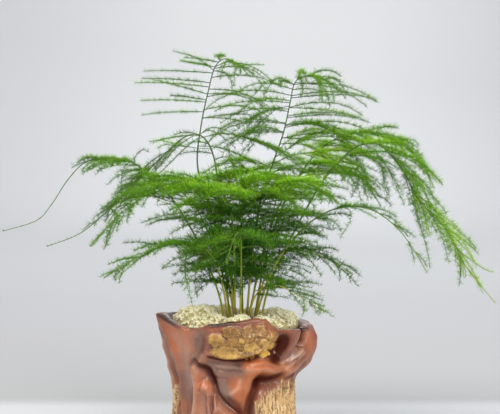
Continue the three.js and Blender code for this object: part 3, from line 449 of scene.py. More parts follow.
# Shoots drawn one by one, by the cane that bears them: the points each passes, the share of it that is bare,
# how long its twigs are for their place, its tone, and how many others fan out with it.
DRAWN_SHOOTS = {
    "tall_left": (
        (((-28, 21, 237), (-40, 17, 228), (-54, 13, 214), (-70, 9, 200), (-88, 5, 189)), 0.1, 0.6, 0.3, 0),
        (((-28, 21, 239), (-21, 20, 242), (-10, 19, 237), (0, 17, 228)), 0.1, 0.7, 0.35, 1),
        (((-28, 21, 236), (-10, 12, 240), (12, 6, 236), (34, 0, 227), (52, -4, 214)), 0.1, 1.1, 0.45, 4),
        (((-29, 21, 230), (-12, 14, 229), (6, 8, 222), (24, 2, 212)), 0.15, 1, 0.4, 3),
        (((-28, 21, 238), (-40, 14, 238), (-54, 8, 236), (-66, 4, 234)), 0.3, 0.6, 0.6, 1),
        (((-16, 19, 291), (-4, 16, 295), (8, 13, 289), (18, 10, 280), (24, 8, 271)), 0.1, 0.8, 0.55, 1),
        (((-17, 19, 288), (-24, 17, 293), (-36, 15, 294)), 0.2, 0.7, 0.5, 1),
    ),
    "tall_right": (
        (((27, 10, 214), (10, 4, 221), (-6, 0, 220), (-18, -2, 212)), 0.15, 1.2, 0.6, 2),
        (((28, 10, 217), (44, 4, 224), (64, 0, 226), (84, -4, 221), (100, -8, 211)), 0.1, 1.2, 0.7, 3),
        (((30, 10, 222), (50, 14, 234), (72, 14, 238), (94, 12, 234), (108, 10, 226)), 0.1, 1.2, 0.65, 3),
        (((26, 10, 210), (42, 0, 214), (60, -8, 212), (76, -14, 204)), 0.15, 1.1, 0.6, 2),
        (((31, 11, 226), (44, 16, 238), (56, 20, 243), (66, 22, 243)), 0.2, 1.2, 0.9, 1),
        (((44, 12, 277), (34, 10, 282), (22, 8, 278), (12, 6, 268)), 0.1, 0.9, 0.5, 1),
        (((25, 10, 207), (12, 0, 212), (-4, -6, 211), (-20, -10, 204)), 0.15, 1.2, 0.6, 2),
        (((36, 12, 241), (20, 8, 243), (4, 4, 238), (-10, 2, 229)), 0.1, 1, 0.4, 3),
        (((41, 12, 261), (26, 8, 258), (10, 6, 250), (-4, 4, 240)), 0.15, 0.9, 0.35, 1),
        (((37, 12, 246), (54, 8, 248), (74, 4, 242), (92, 0, 230)), 0.1, 1.1, 0.5, 3),
        (((33, 11, 232), (52, 6, 232), (72, 0, 222), (90, -6, 204)), 0.1, 1.1, 0.65, 3),
    ),
    "right_arch": (
        (((134, 2, 197), (137, 1, 184), (141, 0, 168), (146, -1, 150), (148, -2, 137)), 0.05, 0.5, 0.3, 0),
        (((127, 0, 212), (140, -2, 206), (148, -4, 196), (152, -5, 184)), 0.1, 0.8, 0.4, 0),
        (((118, -1, 223), (134, -8, 212), (143, -12, 196), (147, -14, 182)), 0.1, 0.8, 0.55, 0),
        (((170, 4, 151), (182, 0, 142), (190, -2, 137), (196, -3, 135)), 0.3, 0.4, 0.85, 0),
    ),
    "right_far": (
        (((104, 28, 238.6), (112, 26, 237), (124, 24, 232.5), (132, 23, 235), (138, 22, 233.5),
          (141, 21, 230)), 0.3, 0.5, 0.5, 0),
        (((104, 28, 238.6), (106, 28, 239.5), (111, 27, 243)), 0.5, 0.2, 0.3, 0),
        (((78, 27, 235), (82, 16, 232), (88, 6, 220), (92, 0, 204), (95, -3, 188)), 0.1, 0.9, 0.55, 3),
        (((96, 28, 239), (102, 18, 234), (110, 8, 220), (114, 2, 204), (117, 0, 190)), 0.1, 0.9, 0.55, 3),
    ),
    "right_front": (
        (((70, -48, 186.4), (82, -52, 190.5), (94, -54, 186), (103, -56, 181)), 0.1, 0.9, 0.9, 0),
        (((80, -52, 188.6), (84, -54, 186), (83, -56, 178), (76, -57, 167)), 0.2, 0.5, 0.6, 0),
    ),
    "left_arch": (
        (((-80, -8, 220), (-85, -9, 214), (-86.5, -10, 205), (-86, -10, 196)), 0.05, 0.6, 0.15, 0),
        (((-76, -9, 217.5), (-76, -12, 223), (-70, -14, 229), (-65, -15, 227)), 0.1, 0.5, 0.15, 0),
        (((-72, -10, 214.5), (-79, -12, 213), (-85, -14, 209)), 0.05, 0.5, 0.15, 0),
        (((-46, -13, 189), (-60, -16, 196), (-76, -18, 192), (-92, -20, 180)), 0.1, 0.8, 0.3, 2),
    ),
    "left_over": (
        (((-17, 8, 222), (-20, 6, 228.5), (-30, 4, 229.3), (-44, 2, 232), (-52, 1, 234), (-58, 0, 235.3),
          (-64, -1, 233)), 0.5, 0.6, 0.85, 1),
        (((-32, 9, 238.6), (-44, 5, 231), (-58, 1, 216), (-74, -3, 200)), 0.1, 1, 0.25, 0),
        (((-52, 7, 227), (-66, 3, 218), (-80, -1, 204), (-94, -5, 192)), 0.1, 1, 0.2, 1),
    ),
    "low_left": (
        (((-18, -27, 150), (-26, -30, 147), (-30, -31, 138), (-30, -32, 128), (-29, -32, 120)),
         0.1, 0.7, 0.4, 0),
        (((-28, -32, 159), (-36, -36, 152), (-38, -37, 140), (-34, -37, 127)), 0.15, 0.8, 0.85, 1),
    ),
    "shelf_left": (
        (((-4, -28, 184), (-14, -40, 194), (-30, -52, 200), (-50, -60, 199)), 0.1, 1.3, 0.55, 3),
        (((-10, -32, 195), (-26, -28, 205), (-44, -24, 209), (-62, -20, 205)), 0.1, 1.1, 0.4, 2),
    ),
    "shelf_right": (
        (((18, -26, 184), (8, -38, 196), (-6, -48, 203), (-22, -54, 204)), 0.1, 1.3, 0.65, 3),
        (((22, -28, 192), (34, -44, 200), (46, -54, 200), (58, -60, 194)), 0.1, 1.2, 0.55, 3),
    ),
    "low_right": (
        (((28, -18, 146), (44, -30, 156), (62, -38, 154), (80, -42, 146), (94, -44, 136)), 0.1, 0.6, 0.1, 1),
    ),
    "heart_left": (
        (((-11, -6, 164), (-20, -14, 158), (-25, -18, 148), (-26, -20, 138)), 0.1, 0.7, 0.93, 1),
    ),
    "heart": (
        (((2, 0, 195), (6, -16, 204), (14, -30, 209), (26, -40, 208)), 0.1, 1.2, 0.7, 3),
        (((0, -1, 205), (-12, -14, 209), (-26, -24, 209), (-38, -30, 204)), 0.1, 1.2, 0.65, 3),
    ),
}
FAN = (12, 14, 10)  # how far a shoot of a fan ends from the drawn one
TONE_SPREAD = 0.45  # how much the shoots of a spray differ
TONE_STRAY = 0.08
GREENING = {"cane": 90, "shoot": 60, "over": 130}  # heights from which wood turns green, and over how much
# The foliage's map: where canes, shoots, twigs and the feet of needles lie upwards, how far a needle reaches
# from there, where leaf starts, and how far the corners of a face are kept apart.
MAP_RISE = {"cane": 0.05, "shoot": 0.1, "twig": 0.27, "needle": 0.26, "along": 0.7, "leaf_from": 0.22}
MAP_APART = 0.005

# Stage, in metres and watts, with the lens and the sensor in millimetres
BOARD = {"half_width": 6.0, "near": -3.0, "far": 1.6, "curve": 0.7, "top": 3.2, "arcs": 16}
# The board's tones by how far back it lies, from the end of the table to the wall.
BOARD_TONES = {
    "from_to": (0.15, 2.3),
    "stops": (
        (0.0, "#bbbcbd"), (0.014, "#a3a3a3"), (0.07, "#a8a8a8"), (0.16, "#acabac"), (0.3, "#b0b0b1"),
        (0.43, "#babbbc"), (0.55, "#c5c5c6"), (0.66, "#cecfd0"), (0.79, "#d9d9db"), (1.0, "#e1e2e4"),
    ),
}
# A pool of light painted on the wall's middle: its tone, its place sideways, how far from there it fades, and
# between which depths it comes up.
WALL_LIGHT_POOL = {"tone": "#f3f4f5", "middle": 0.08, "fades": (0.08, 0.62), "rises": (1.3, 2.25)}
LIT_PLACE = (0, 0, 0.18)
# Name, place, width, power and colour.
LIGHTS = (
    ("top_window", (-0.5, -0.6, 1.7), 1.4, 30, "#fffdf8"),
    ("front_window", (0.9, -1.7, 0.9), 1.1, 26, "#ffffff"),
    ("back_window", (0.2, 1.1, 1.3), 1.0, 12, "#f4f8ff"),
)
AIR = {"tone": "#eef1f5", "strength": 0.55}
CAMERA = {
    "target": (0.0106, 0.0, 0.1846), "distance": 1.3, "rise": math.radians(5), "lens": 123.0, "sensor": 36,
    "clip_end": 30,
}


def linear(code):
    """An sRGB hex colour as linear red, green, blue and alpha."""
    channels = [int(code[i:i + 2], 16) / 255 for i in (1, 3, 5)]
    return (*(c / 12.92 if c <= 0.04045 else ((c + 0.055) / 1.055) ** 2.4 for c in channels), 1.0)


def colour_setting(name, code, description):
    return bpy.props.FloatVectorProperty(
        name=name, description=description, subtype="COLOR", size=4, min=0, max=1, default=linear(code)
    )


class FernSettings(bpy.types.PropertyGroup):
    """Sizes and colours that a user would change."""

    clay: colour_setting("Clay", "#985839", "Main colour of the painted clay")
    clay_warm: colour_setting("Warm glaze", "#c56a35", "Orange parts of the glaze")
    clay_grey: colour_setting("Grey glaze", "#83675c", "Mauve grey parts of the glaze")
    # Colour of the painted shade in the grooves, hollows, knot hole and under the branch.
    clay_painted_shade: colour_setting("Hollows", "#3e120c", "Paint in the grooves and hollows")
    gold: colour_setting("Gold bark", "#96662a", "Bark under the rim")
    string: colour_setting("String bark", "#c89c64", "Stringy bark low on the pot")
    moss: colour_setting("Moss", "#fff5d0", "Tips of the moss")
    # Colour of the painted shade deep in the moss.
    moss_painted_shade: colour_setting("Moss shade", "#b0a060", "Inner parts of the moss")
    soil: colour_setting("Soil", "#33241a", "Damp potting soil")
    # Greens that paint shade into the deep sprays and light into the sunlit ones; the brightest is also
    # yellower young growth.
    leaf_deep: colour_setting("Deep green", "#296006", "Needles of the shaded sprays")
    leaf_bright: colour_setting("Bright green", "#88c41e", "Needles of the sunlit sprays")
    leaf_young_and_lit: colour_setting("Young green", "#bee044", "Needles of the youngest tips")
    cane: colour_setting("Cane", "#a4b242", "Bark of the canes")
    needle_radius: bpy.props.FloatProperty(
        name="Needle radius", description="Half the thickness of a needle at its foot", unit="LENGTH",
        default=NEEDLE["radius"] * MM, min=0.0001, max=0.001,
    )
    sprig_size: bpy.props.FloatProperty(
        name="Moss tip size", description="Usual size of a tip of the moss, as a share", subtype="FACTOR",
        default=1.0, min=0.5, max=2.0,
    )


def settings():
    return bpy.context.scene.fern


def dice(seed):
    """A seeded draw of numbers from 0 to 1, the same on every machine."""
    factor, largest = 16807, 2147483647
    state = seed

    def draw():
        nonlocal state
        state = state * factor % largest
        return state / largest

    return draw


def mixed(a, b, share):
    return a + (b - a) * share


def held(share):
    """A share kept between 0 and 1."""
    return np.clip(share, 0, 1)


def eased(share):
    """A share from 0 to 1 that starts and ends gently."""
    share = held(share)
    return share * share * (3 - 2 * share)


def unit(vector):
    return vector / np.linalg.norm(vector, axis=-1, keepdims=True)


def joined(rows):
    """The columns of some rows, each as one array."""
    return tuple(np.concatenate(column) for column in zip(*rows))


def smooth_value(points, x):
    """Smooth values at x through points given as (x, value)."""
    places, values = np.array(points, float).T
    i = np.clip(np.searchsorted(places, x, side="right") - 1, 0, len(places) - 2)
    return mixed(values[i], values[i + 1], eased((x - places[i]) / (places[i + 1] - places[i])))


def as_colour(value):
    """A hex colour as linear numbers. Any other value stays as it is."""
    return linear(value) if isinstance(value, str) else value


def add_node(tree, kind, inputs=None, **given):
    """Adds a node with its settings, and its inputs as values, hex colours or links."""
    node = tree.nodes.new(kind)
    for name, value in given.items():
        setattr(node, name, value)
    for key, value in (inputs or {}).items():
        if isinstance(value, bpy.types.NodeSocket):
            tree.links.new(value, node.inputs[key])
        else:
            node.inputs[key].default_value = as_colour(value)
    return node


def object_place(tree):
    return add_node(tree, "ShaderNodeTexCoord").outputs["Object"]


def stored(tree, name):
    """The number that store keeps at each point of a mesh."""
    return add_node(tree, "ShaderNodeAttribute", attribute_name=name).outputs["Fac"]


def noise_texture(tree, place, scale, detail, **more):
    """Soft noise with a scale in lumps to a metre."""
    inputs = {"Vector": place, "Scale": scale, "Detail": detail, **more}
    return add_node(tree, "ShaderNodeTexNoise", inputs).outputs["Fac"]


def ranged(tree, value, low, high, least=0.0, most=1.0, **given):
    """A value between two limits brought between two others, and kept there."""
    inputs = {"Value": value, "From Min": low, "From Max": high, "To Min": least, "To Max": most}
    return add_node(tree, "ShaderNodeMapRange", inputs, **given).outputs["Result"]


def calculated(tree, operation, *values):
    return add_node(tree, "ShaderNodeMath", dict(enumerate(values)), operation=operation).outputs[0]


def mix_colour(tree, share, first, second):
    """A colour between two, by a share from 0 to 1."""
    inputs = {"Factor": share, "A": first, "B": second}
    return add_node(tree, "ShaderNodeMix", inputs, data_type="RGBA").outputs["Result"]


def layered(tree, colour, *layers):
    """A colour with layers over it in turn, each the share that it covers and its colour."""
    for share, over in layers:
        colour = mix_colour(tree, share, colour, over)
    return colour


def colour_ramp(tree, share, *stops):
    """A colour that runs through stops, each a place from 0 to 1 and a colour."""
    node = add_node(tree, "ShaderNodeValToRGB", {"Fac": share})
    ramp = node.color_ramp
    while len(ramp.elements) < len(stops):
        ramp.elements.new(0.5)
    for element, (place, colour) in zip(ramp.elements, stops):
        element.position = place
        element.color = as_colour(colour)
    return node.outputs["Color"]


def bumped(tree, height, distance, strength, **under):
    """A surface that looks raised by up to a distance in millimetres."""
    inputs = {"Height": height, "Distance": distance * MM, "Strength": strength, **under}
    return add_node(tree, "ShaderNodeBump", inputs).outputs[0]


def principled(tree, inputs):
    return add_node(tree, "ShaderNodeBsdfPrincipled", inputs).outputs[0]


def new_material(name):
    """An empty node material and its tree."""
    material = bpy.data.materials.new(name)
    material.use_nodes = True
    material.node_tree.nodes.clear()
    return material, material.node_tree


def finish_material(tree, surface):
    add_node(tree, "ShaderNodeOutputMaterial", {"Surface": surface})


def linked(name, data):
    """A new object in the scene."""
    thing = bpy.data.objects.new(name, data)
    bpy.context.scene.collection.objects.link(thing)
    return thing


def finished_piece(name, mesh, material, replaced):
    """Links a piece, gives it its material and hides the solids that it stands for."""
    piece = linked(name, mesh)
    mesh.materials.append(material)
    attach(piece, BODY)
    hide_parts(*replaced)


def mesh_of(bm, name, size):
    """A bmesh as a smooth mesh, with the size of its unit in metres. The bmesh is freed."""
    bmesh.ops.scale(bm, vec=(size, size, size), verts=bm.verts)
    mesh = bpy.data.meshes.new(name)
    bm.to_mesh(mesh)
    bm.free()
    mesh.polygons.foreach_set("use_smooth", [True] * len(mesh.polygons))
    return mesh


def coordinates(bm):
    return np.array([v.co for v in bm.verts], float)


def place_verts(bm, places):
    for vert, place in zip(bm.verts, places):
        vert.co = place


def of_kind(geometry, kind):
    return [part for part in geometry if isinstance(part, kind)]


def group_of(bm):
    """The points, face corners and face sizes of a bmesh in millimetres. The bmesh is freed."""
    bm.verts.index_update()
    points = coordinates(bm)
    faces = [[v.index for v in face.verts] for face in bm.faces]
    bm.free()
    return {
        "points": points,
        "corners": np.array([i for face in faces for i in face]),
        "sizes": np.array([len(face) for face in faces]),
    }


def copies_of(shape, axes, places):
    """A group of copies of a group. axes holds three columns for each copy, and places its origin."""
    moved = np.einsum("nij,pj->npi", axes, shape["points"]) + places[:, None, :]
    steps = np.arange(len(places)) * len(shape["points"])
    return {
        "points": moved.reshape(-1, 3),
        "corners": (shape["corners"][None, :] + steps[:, None]).reshape(-1),
        "sizes": np.tile(shape["sizes"], len(places)),
    }


def mesh_from(name, groups):
    """One smooth mesh of several groups."""
    points = np.concatenate([g["points"] for g in groups]) * MM
    starts = np.cumsum([0] + [len(g["points"]) for g in groups[:-1]])
    corners = np.concatenate([g["corners"] + start for g, start in zip(groups, starts)])
    sizes = np.concatenate([g["sizes"] for g in groups])
    mesh = bpy.data.meshes.new(name)
    mesh.vertices.add(len(points))
    mesh.vertices.foreach_set("co", points.astype(np.float32).ravel())
    mesh.loops.add(len(corners))
    mesh.loops.foreach_set("vertex_index", corners.astype(np.int32))
    mesh.polygons.add(len(sizes))
    mesh.polygons.foreach_set("loop_start", (np.cumsum(sizes) - sizes).astype(np.int32))
    mesh.polygons.foreach_set("use_smooth", np.ones(len(sizes), bool))
    mesh.update(calc_edges=True)
    return mesh


def store(mesh, name, values):
    """Keeps one number at each point of a mesh, for its material."""
    attribute = mesh.attributes.new(name, "FLOAT", "POINT")
    attribute.data.foreach_set("value", np.asarray(values, np.float32))


def noise_at(points, size, detail=0):
    """Smooth noise from about -1 to 1 with lumps of a given size in mm, or sizes along X, Y and Z."""
    scaled = np.asarray(points) / np.asarray(size)
    if detail:
        return np.array([noise.fractal(Vector(p), 1.0, 2.0, detail) for p in scaled])
    return np.array([noise.noise(Vector(p)) for p in scaled])


def distance_to_line(x, z, line):
    places = [(math.radians(angle) * UNROLLED_RADIUS, height) for angle, height in line]
    if len(places) == 1:
        return np.hypot(x - places[0][0], z - places[0][1])
    nearest = np.full(x.shape, np.inf)
    for (ax, az), (bx, bz) in zip(places, places[1:]):
        dx, dz = bx - ax, bz - az
        t = held(((x - ax) * dx + (z - az) * dz) / (dx * dx + dz * dz))
        nearest = np.minimum(nearest, np.hypot(x - ax - t * dx, z - az - t * dz))
    return nearest


def strokes_at(angle, height, strokes, blur=0):
    """How far strokes of the carving stand out, as they are or blurred by some millimetres."""
    around = 2 * math.pi * UNROLLED_RADIUS
    x = np.radians(angle) * UNROLLED_RADIUS
    total = np.zeros(x.shape)
    for out, wide, line in strokes:
        distance = np.minimum.reduce(
            [distance_to_line(x + turn, height, line) for turn in (-around, 0, around)]
        )
        spread = math.hypot(wide, blur)
        total += out * wide / spread * np.exp(-((distance / spread) ** 2))
    return total


def rim_height(angle):
    start = RIM[0][0]
    return smooth_value(RIM + ((start + 360, RIM[0][1]),), np.where(angle < start, angle + 360, angle))


def oval_at(angle):
    return 1 - FRONT_FLATTENING * np.cos(np.radians(angle)) ** 2


def cavity_radius(angle, height):
    share = (height - CAVITY_FLARE[0]) / (CAVITY_FLARE[1] - CAVITY_FLARE[0])
    return mixed(CAVITY_RADIUS, MOUTH_RADIUS * oval_at(angle), eased(share))


def round_axis(around, radius, height):
    """Points at angles from the front, distances from the pot's axis and heights."""
    return np.stack([radius * np.sin(around), -radius * np.cos(around), height], 1)


def spun(profile, columns):
    """A closed body turned from a profile that starts and ends on the axis."""
    bm = bmesh.new()
    chain = [bm.verts.new((x, 0, z)) for x, z in profile]
    edges = [bm.edges.new(pair) for pair in zip(chain, chain[1:])]
    bmesh.ops.spin(
        bm, geom=chain + edges, cent=(0, 0, 0), axis=(0, 0, 1), angle=2 * math.pi, steps=columns,
        use_merge=True,
    )
    bmesh.ops.remove_doubles(bm, verts=bm.verts, dist=WELD)
    bmesh.ops.recalc_face_normals(bm, faces=bm.faces)
    return bm


def patch_share(angle, height, patches, ragged):
    """1 inside patches of bark and 0 outside, with soft edges that a ragged value shifts."""
    total = np.zeros(angle.shape)
    for patch in patches:
        lowest, highest = patch["angles"]
        turned = np.where(angle < lowest - PATCH["margin"], angle + 360, angle)
        low = np.interp(turned, *np.array(patch["low"], float).T)
        high = np.interp(turned, *np.array(patch["high"], float).T)
        inside = np.minimum.reduce([
            (turned - lowest) * PATCH["degree"] + ragged,
            (highest - turned) * PATCH["degree"] + ragged,
            height - low + ragged,
            (high - height) * 0.5 + ragged * 2,
        ])
        total = np.maximum(total, held(inside / PATCH["edge"]))
    return total


def lumps_at(angle, height, shift):
    """How near the middle of its lump of bark a point lies, at most 1, how far it is from the next, and the
    tone of its own."""
    nearest = np.full(angle.shape, -9.0)  # far outside every lump
    second = nearest.copy()
    tone = np.zeros(angle.shape)
    for middle, up, wide, tall, own in GOLD_LUMPS:
        across = np.radians((angle - middle + 180) % 360 - 180) * UNROLLED_RADIUS + shift[:, 0]
        near = 1 - (across / wide) ** 2 - ((height - up + shift[:, 1]) / tall) ** 2
        tone = np.where(near > nearest, own, tone)
        second = np.maximum(second, np.minimum(near, nearest))
        nearest = np.maximum(near, nearest)
    return nearest, nearest - second, tone


def skin_noise(name, points):
    return noise_at(points, *SKIN_NOISE[name])


def pot_relief(angle, height, skin):
    """The fine relief of the bark and the wood's grain on points of the pot's skin, with its colour masks."""
    x = np.radians(angle) * UNROLLED_RADIUS
    unrolled = np.stack([x, np.zeros_like(x), height], 1)
    warp = skin_noise("warp", skin)[:, None]
    grain = skin_noise("grain", unrolled + warp * (3, 0, 0))
    fine_grain = skin_noise("fine_grain", unrolled + warp * (2, 0, 0))
    strands = np.abs(skin_noise("strands", unrolled + warp * (3.4, 0, 6)))
    fibres = skin_noise("fibres", unrolled)
    ragged = skin_noise("ragged", skin)
    # The bark crumbles less towards the left, where it lies in smooth lumps.
    crumbly = np.clip((angle + 2) / 14, 0.3, 1)
    shift = np.stack([ragged * 2, skin_noise("shift", skin + 40) * 1.6], 1) * crumbly[:, None]
    nearest, apart, tones = lumps_at(angle, height, shift)
    border = nearest + 0.5 + 0.35 * ragged
    gold = held(border / 0.25)
    string = patch_share(angle, height, STRING_BARK, fibres * 1.5) * (1 - gold)
    lumps = np.sqrt(held(np.minimum(apart / 0.5, border / 0.5)))
    wood = RELIEF["grain"] * grain + RELIEF["fine_grain"] * fine_grain
    bark = RELIEF["floor"] + RELIEF["lumps"] * lumps
    bark = bark + RELIEF["crumbs"] * crumbly * np.abs(skin_noise("crumbs", skin))
    stringy = RELIEF["strands"] * held(strands * 2.6) + RELIEF["between"]
    relief = mixed(mixed(wood, bark, gold), stringy, string)
    masks = {
        "gold": gold,
        "string": string,
        "tone": held(tones + 0.35 * ragged),
        "crack": mixed(mixed(np.ones_like(x), lumps, gold), held(strands * 3.4), string),
    }
    return relief, masks


def glaze_and_painted_light_masks(angle, height, coarse, fine):
    """Where the carving is sunk or raised beside what lies round it, for painted shade and highlights, and
    where each tone of glaze, painted shade and painted highlight lies.
    """
    blurred = strokes_at(angle, height, CARVING, SUNK["coarse_blur"])
    blurred = blurred + strokes_at(angle, height, FINE_CARVING, SUNK["fine_blur"])
    sunk = blurred - coarse - fine
    masks = {name: held(strokes_at(angle, height, strokes)) for name, strokes in GLAZE_AND_PAINTED_LIGHT.items()}
    return dict(masks, hollow=held(sunk / SUNK["hollow"]), crest=held(-sunk / SUNK["crest"]))


def pot_profile():
    outer = [(RING["outer"], i / POT_BANDS) for i in range(POT_BANDS + 1)]
    lip = [(RING["lip"] + 0.5 - i / LIP_BANDS, 1) for i in range(1, LIP_BANDS)]
    hollow = [(RING["hollow"], height) for height in reversed(CAVITY_RINGS)]
    return [(RING["axis"], 0), *outer, *lip, *hollow, (RING["axis"], CAVITY_FLOOR)]


def pot_mesh():
    """The stump, spun from a plain profile and then carved. The profile's radii only say which ring is
    which."""
    bm = spun(pot_profile(), POT_COLUMNS)
    x, y, up = coordinates(bm).T
    code = np.hypot(x, y)
    around = np.arctan2(x, -y)
    around = around - FRONT_BIAS * np.sin(around)
    angle = np.degrees(around)
    top = rim_height(angle)
    outer = code > RING["outer"] - 0.3
    lip = (code > RING["hollow"] + 0.5) & ~outer
    height = np.where(outer | lip, top * up, up)
    skin = round_axis(around, UNROLLED_RADIUS, height)
    relief, masks = pot_relief(angle, height, skin)
    coarse = strokes_at(angle, height, CARVING)
    fine = strokes_at(angle, height, FINE_CARVING)
    outside = smooth_value(STUMP, height) * oval_at(angle) + coarse
    below_rim = held((top - height) / LIP["calm_over"])
    outside = outside + (fine + relief) * mixed(LIP["calm"], 1, below_rim)
    across = held(RING["lip"] + 0.5 - code)
    crest = np.sin(np.pi * across) ** 0.6
    rough_edge = 0.9 * skin_noise("rim", skin) + 0.6 * skin_noise("rim_grain", skin)
    inner = cavity_radius(angle, height)
    radius = np.where(outer, outside, np.where(lip, mixed(outside, inner, across), inner))
    radius = np.where(code < RING["hollow"] / 2, 0, radius)
    height = height + np.where(lip, LIP["height"] * crest + LIP["rough"] * rough_edge * crest, 0)
    height = height + np.where(outer & (up > 0.999), LIP["edge"] * rough_edge, 0)
    place_verts(bm, round_axis(around, radius, height))
    mesh = mesh_of(bm, "pot_finished", MM)
    masks.update(glaze_and_painted_light_masks(angle, height, coarse, fine))
    dark_rim = held(strokes_at(angle, height, DARK_RIM))
    masks["edge"] = np.where(outer | lip, held(1.3 - (top - height) / LIP["dark_over"]), 0) * dark_rim
    masks["inside"] = np.where(outer | lip, 0, 1)
    for name, values in masks.items():
        store(mesh, name, values)
    return mesh


def clay_material():
    """Cast clay, painted by hand and varnished: streaky red brown, with painted shade in the hollows and
    painted highlights on the crests, with a soft gloss that the bark patches lack."""
    look = settings()
    material, tree = new_material("painted_varnished_clay")
    place = object_place(tree)
    mask = {name: stored(tree, name) for name in POT_MASKS}
    # Brush streaks about 2 mm wide and 25 mm long, clouds of thinner paint about 12 mm across, and specks of
    # 1 mm.
    stretched = add_node(tree, "ShaderNodeMapping", {"Vector": place, "Scale": (1, 1, 0.12)}).outputs[0]
    streaks = noise_texture(tree, stretched, 420, 4, Roughness=0.6)
    clouds = noise_texture(tree, place, 70, 3)
    specks = noise_texture(tree, place, 900, 2)

    def share(*limits):
        return ranged(tree, *limits)

    def times(first, second):
        return calculated(tree, "MULTIPLY", first, second)

    paint = layered(
        tree, look.clay,
        (share(clouds, 0.4, 0.62), COAT["brown_cloud"]),
        (times(mask["warm"], share(clouds, 0.25, 0.6, 0.45, 1)), look.clay_warm),
        (times(mask["grey"], share(streaks, 0.3, 0.6, 0.5, 1)), look.clay_grey),
        (share(streaks, 0.58, 0.8, 0, 0.4), COAT["dark_streak"]),
        (share(streaks, 0.42, 0.25, 0, 0.35), COAT["pale_streak"]),
        # Painted highlight on the crests of the carving.
        (share(mask["crest"], 0.25, 1, 0, 0.6), COAT["crest_highlight"]),
        (share(specks, 0.62, 0.72, 0, 0.35), COAT["speck"]),
        # Painted shade: the hollows of the carving, the knot hole, cracks and under the branch.
        (share(mask["hollow"], 0.12, 0.9, 0, 0.8), look.clay_painted_shade),
        (share(mask["dark"], 0.1, 0.8, 0, 0.92), look.clay_painted_shade),
        # Painted highlights and light on the left wall, with the pale strip at the far left.
        (times(mask["pale"], 0.75), COAT["highlight_and_pale_strip"]),
    )
    gold = layered(
        tree,
        colour_ramp(tree, mask["tone"], (0.0, COAT["dark_gold"]), (0.5, look.gold), (1.0, COAT["pale_gold"])),
        (share(clouds, 0.5, 0.7, 0, 0.5), COAT["gold_cloud"]),
        (share(specks, 0.46, 0.3, 0, 0.5), COAT["gold_crumb"]),
        (share(streaks, 0.56, 0.72, 0, 0.3), COAT["gold_streak"]),
        (share(mask["crack"], 0.66, 0.2), COAT["gold_crack"]),
    )
    string = layered(
        tree, look.string,
        (share(streaks, 0.4, 0.62), COAT["pale_string"]),
        (share(clouds, 0.5, 0.68, 0, 0.5), COAT["string_cloud"]),
        (share(mask["crack"], 0.74, 0.08, 0, 0.95), COAT["string_crack"]),
    )
    coat = layered(
        tree, paint,
        (mask["gold"], gold),
        (mask["string"], string),
        (times(mask["edge"], 0.9), COAT["rim_edge"]),
        (mask["inside"], COAT["inside"]),
    )
    rough = add_node(
        tree, "ShaderNodeMix",
        {"Factor": mask["string"], "A": share(streaks, 0.3, 0.7, 0.3, 0.46), "B": 0.72}, data_type="FLOAT",
    ).outputs["Result"]
    relief = bumped(tree, specks, 0.12, 0.5, Normal=bumped(tree, streaks, 0.25, 0.7))
    finish_material(tree, principled(tree, {
        "Base Color": coat, "Roughness": rough, "Normal": relief, "IOR": 1.5,
        "Specular IOR Level": share(mask["dark"], 0.1, 0.7, 0.5, 0.1),
        "Coat Weight": share(mask["dark"], 0.1, 0.7, 0.3, 0.0), "Coat Roughness": 0.22,
    }))
    return material


def soil_material():
    """Damp peat soil: nearly black brown crumbs with no gloss, a few of them lighter bark."""
    material, tree = new_material("damp_peat_soil")
    place = object_place(tree)
    # Crumbs 1 to 3 mm across.
    crumbs = add_node(tree, "ShaderNodeTexVoronoi", {"Vector": place, "Scale": 420})
    grit = noise_texture(tree, place, 900, 3)
    tone = colour_ramp(
        tree, crumbs.outputs["Color"], (0.0, "#1d130d"), (0.6, settings().soil), (1.0, "#5b4330")
    )
    finish_material(tree, principled(tree, {
        "Base Color": mix_colour(tree, grit, tone, "#241810"), "Roughness": 0.92,
        "Normal": bumped(tree, crumbs.outputs["Distance"], 0.8, 0.8),
    }))
    return material


def crumb_shape():
    bm = bmesh.new()
    bmesh.ops.create_icosphere(bm, subdivisions=1, radius=1)
    return group_of(bm)


def random_axes(rng, sizes, squash):
    """Turned and scaled axes for copies that lie any way round."""
    turn = rng.uniform(0, 2 * math.pi, len(sizes))
    tilt = rng.normal(0, 0.5, (len(sizes), 2))
    up = unit(np.stack([*tilt.T, np.ones(len(sizes))], 1))
    side = unit(np.cross(up, np.stack([np.cos(turn), np.sin(turn), np.zeros(len(sizes))], 1)))
    return np.stack([side, np.cross(up, side), up * squash], 2) * sizes[:, None, None]


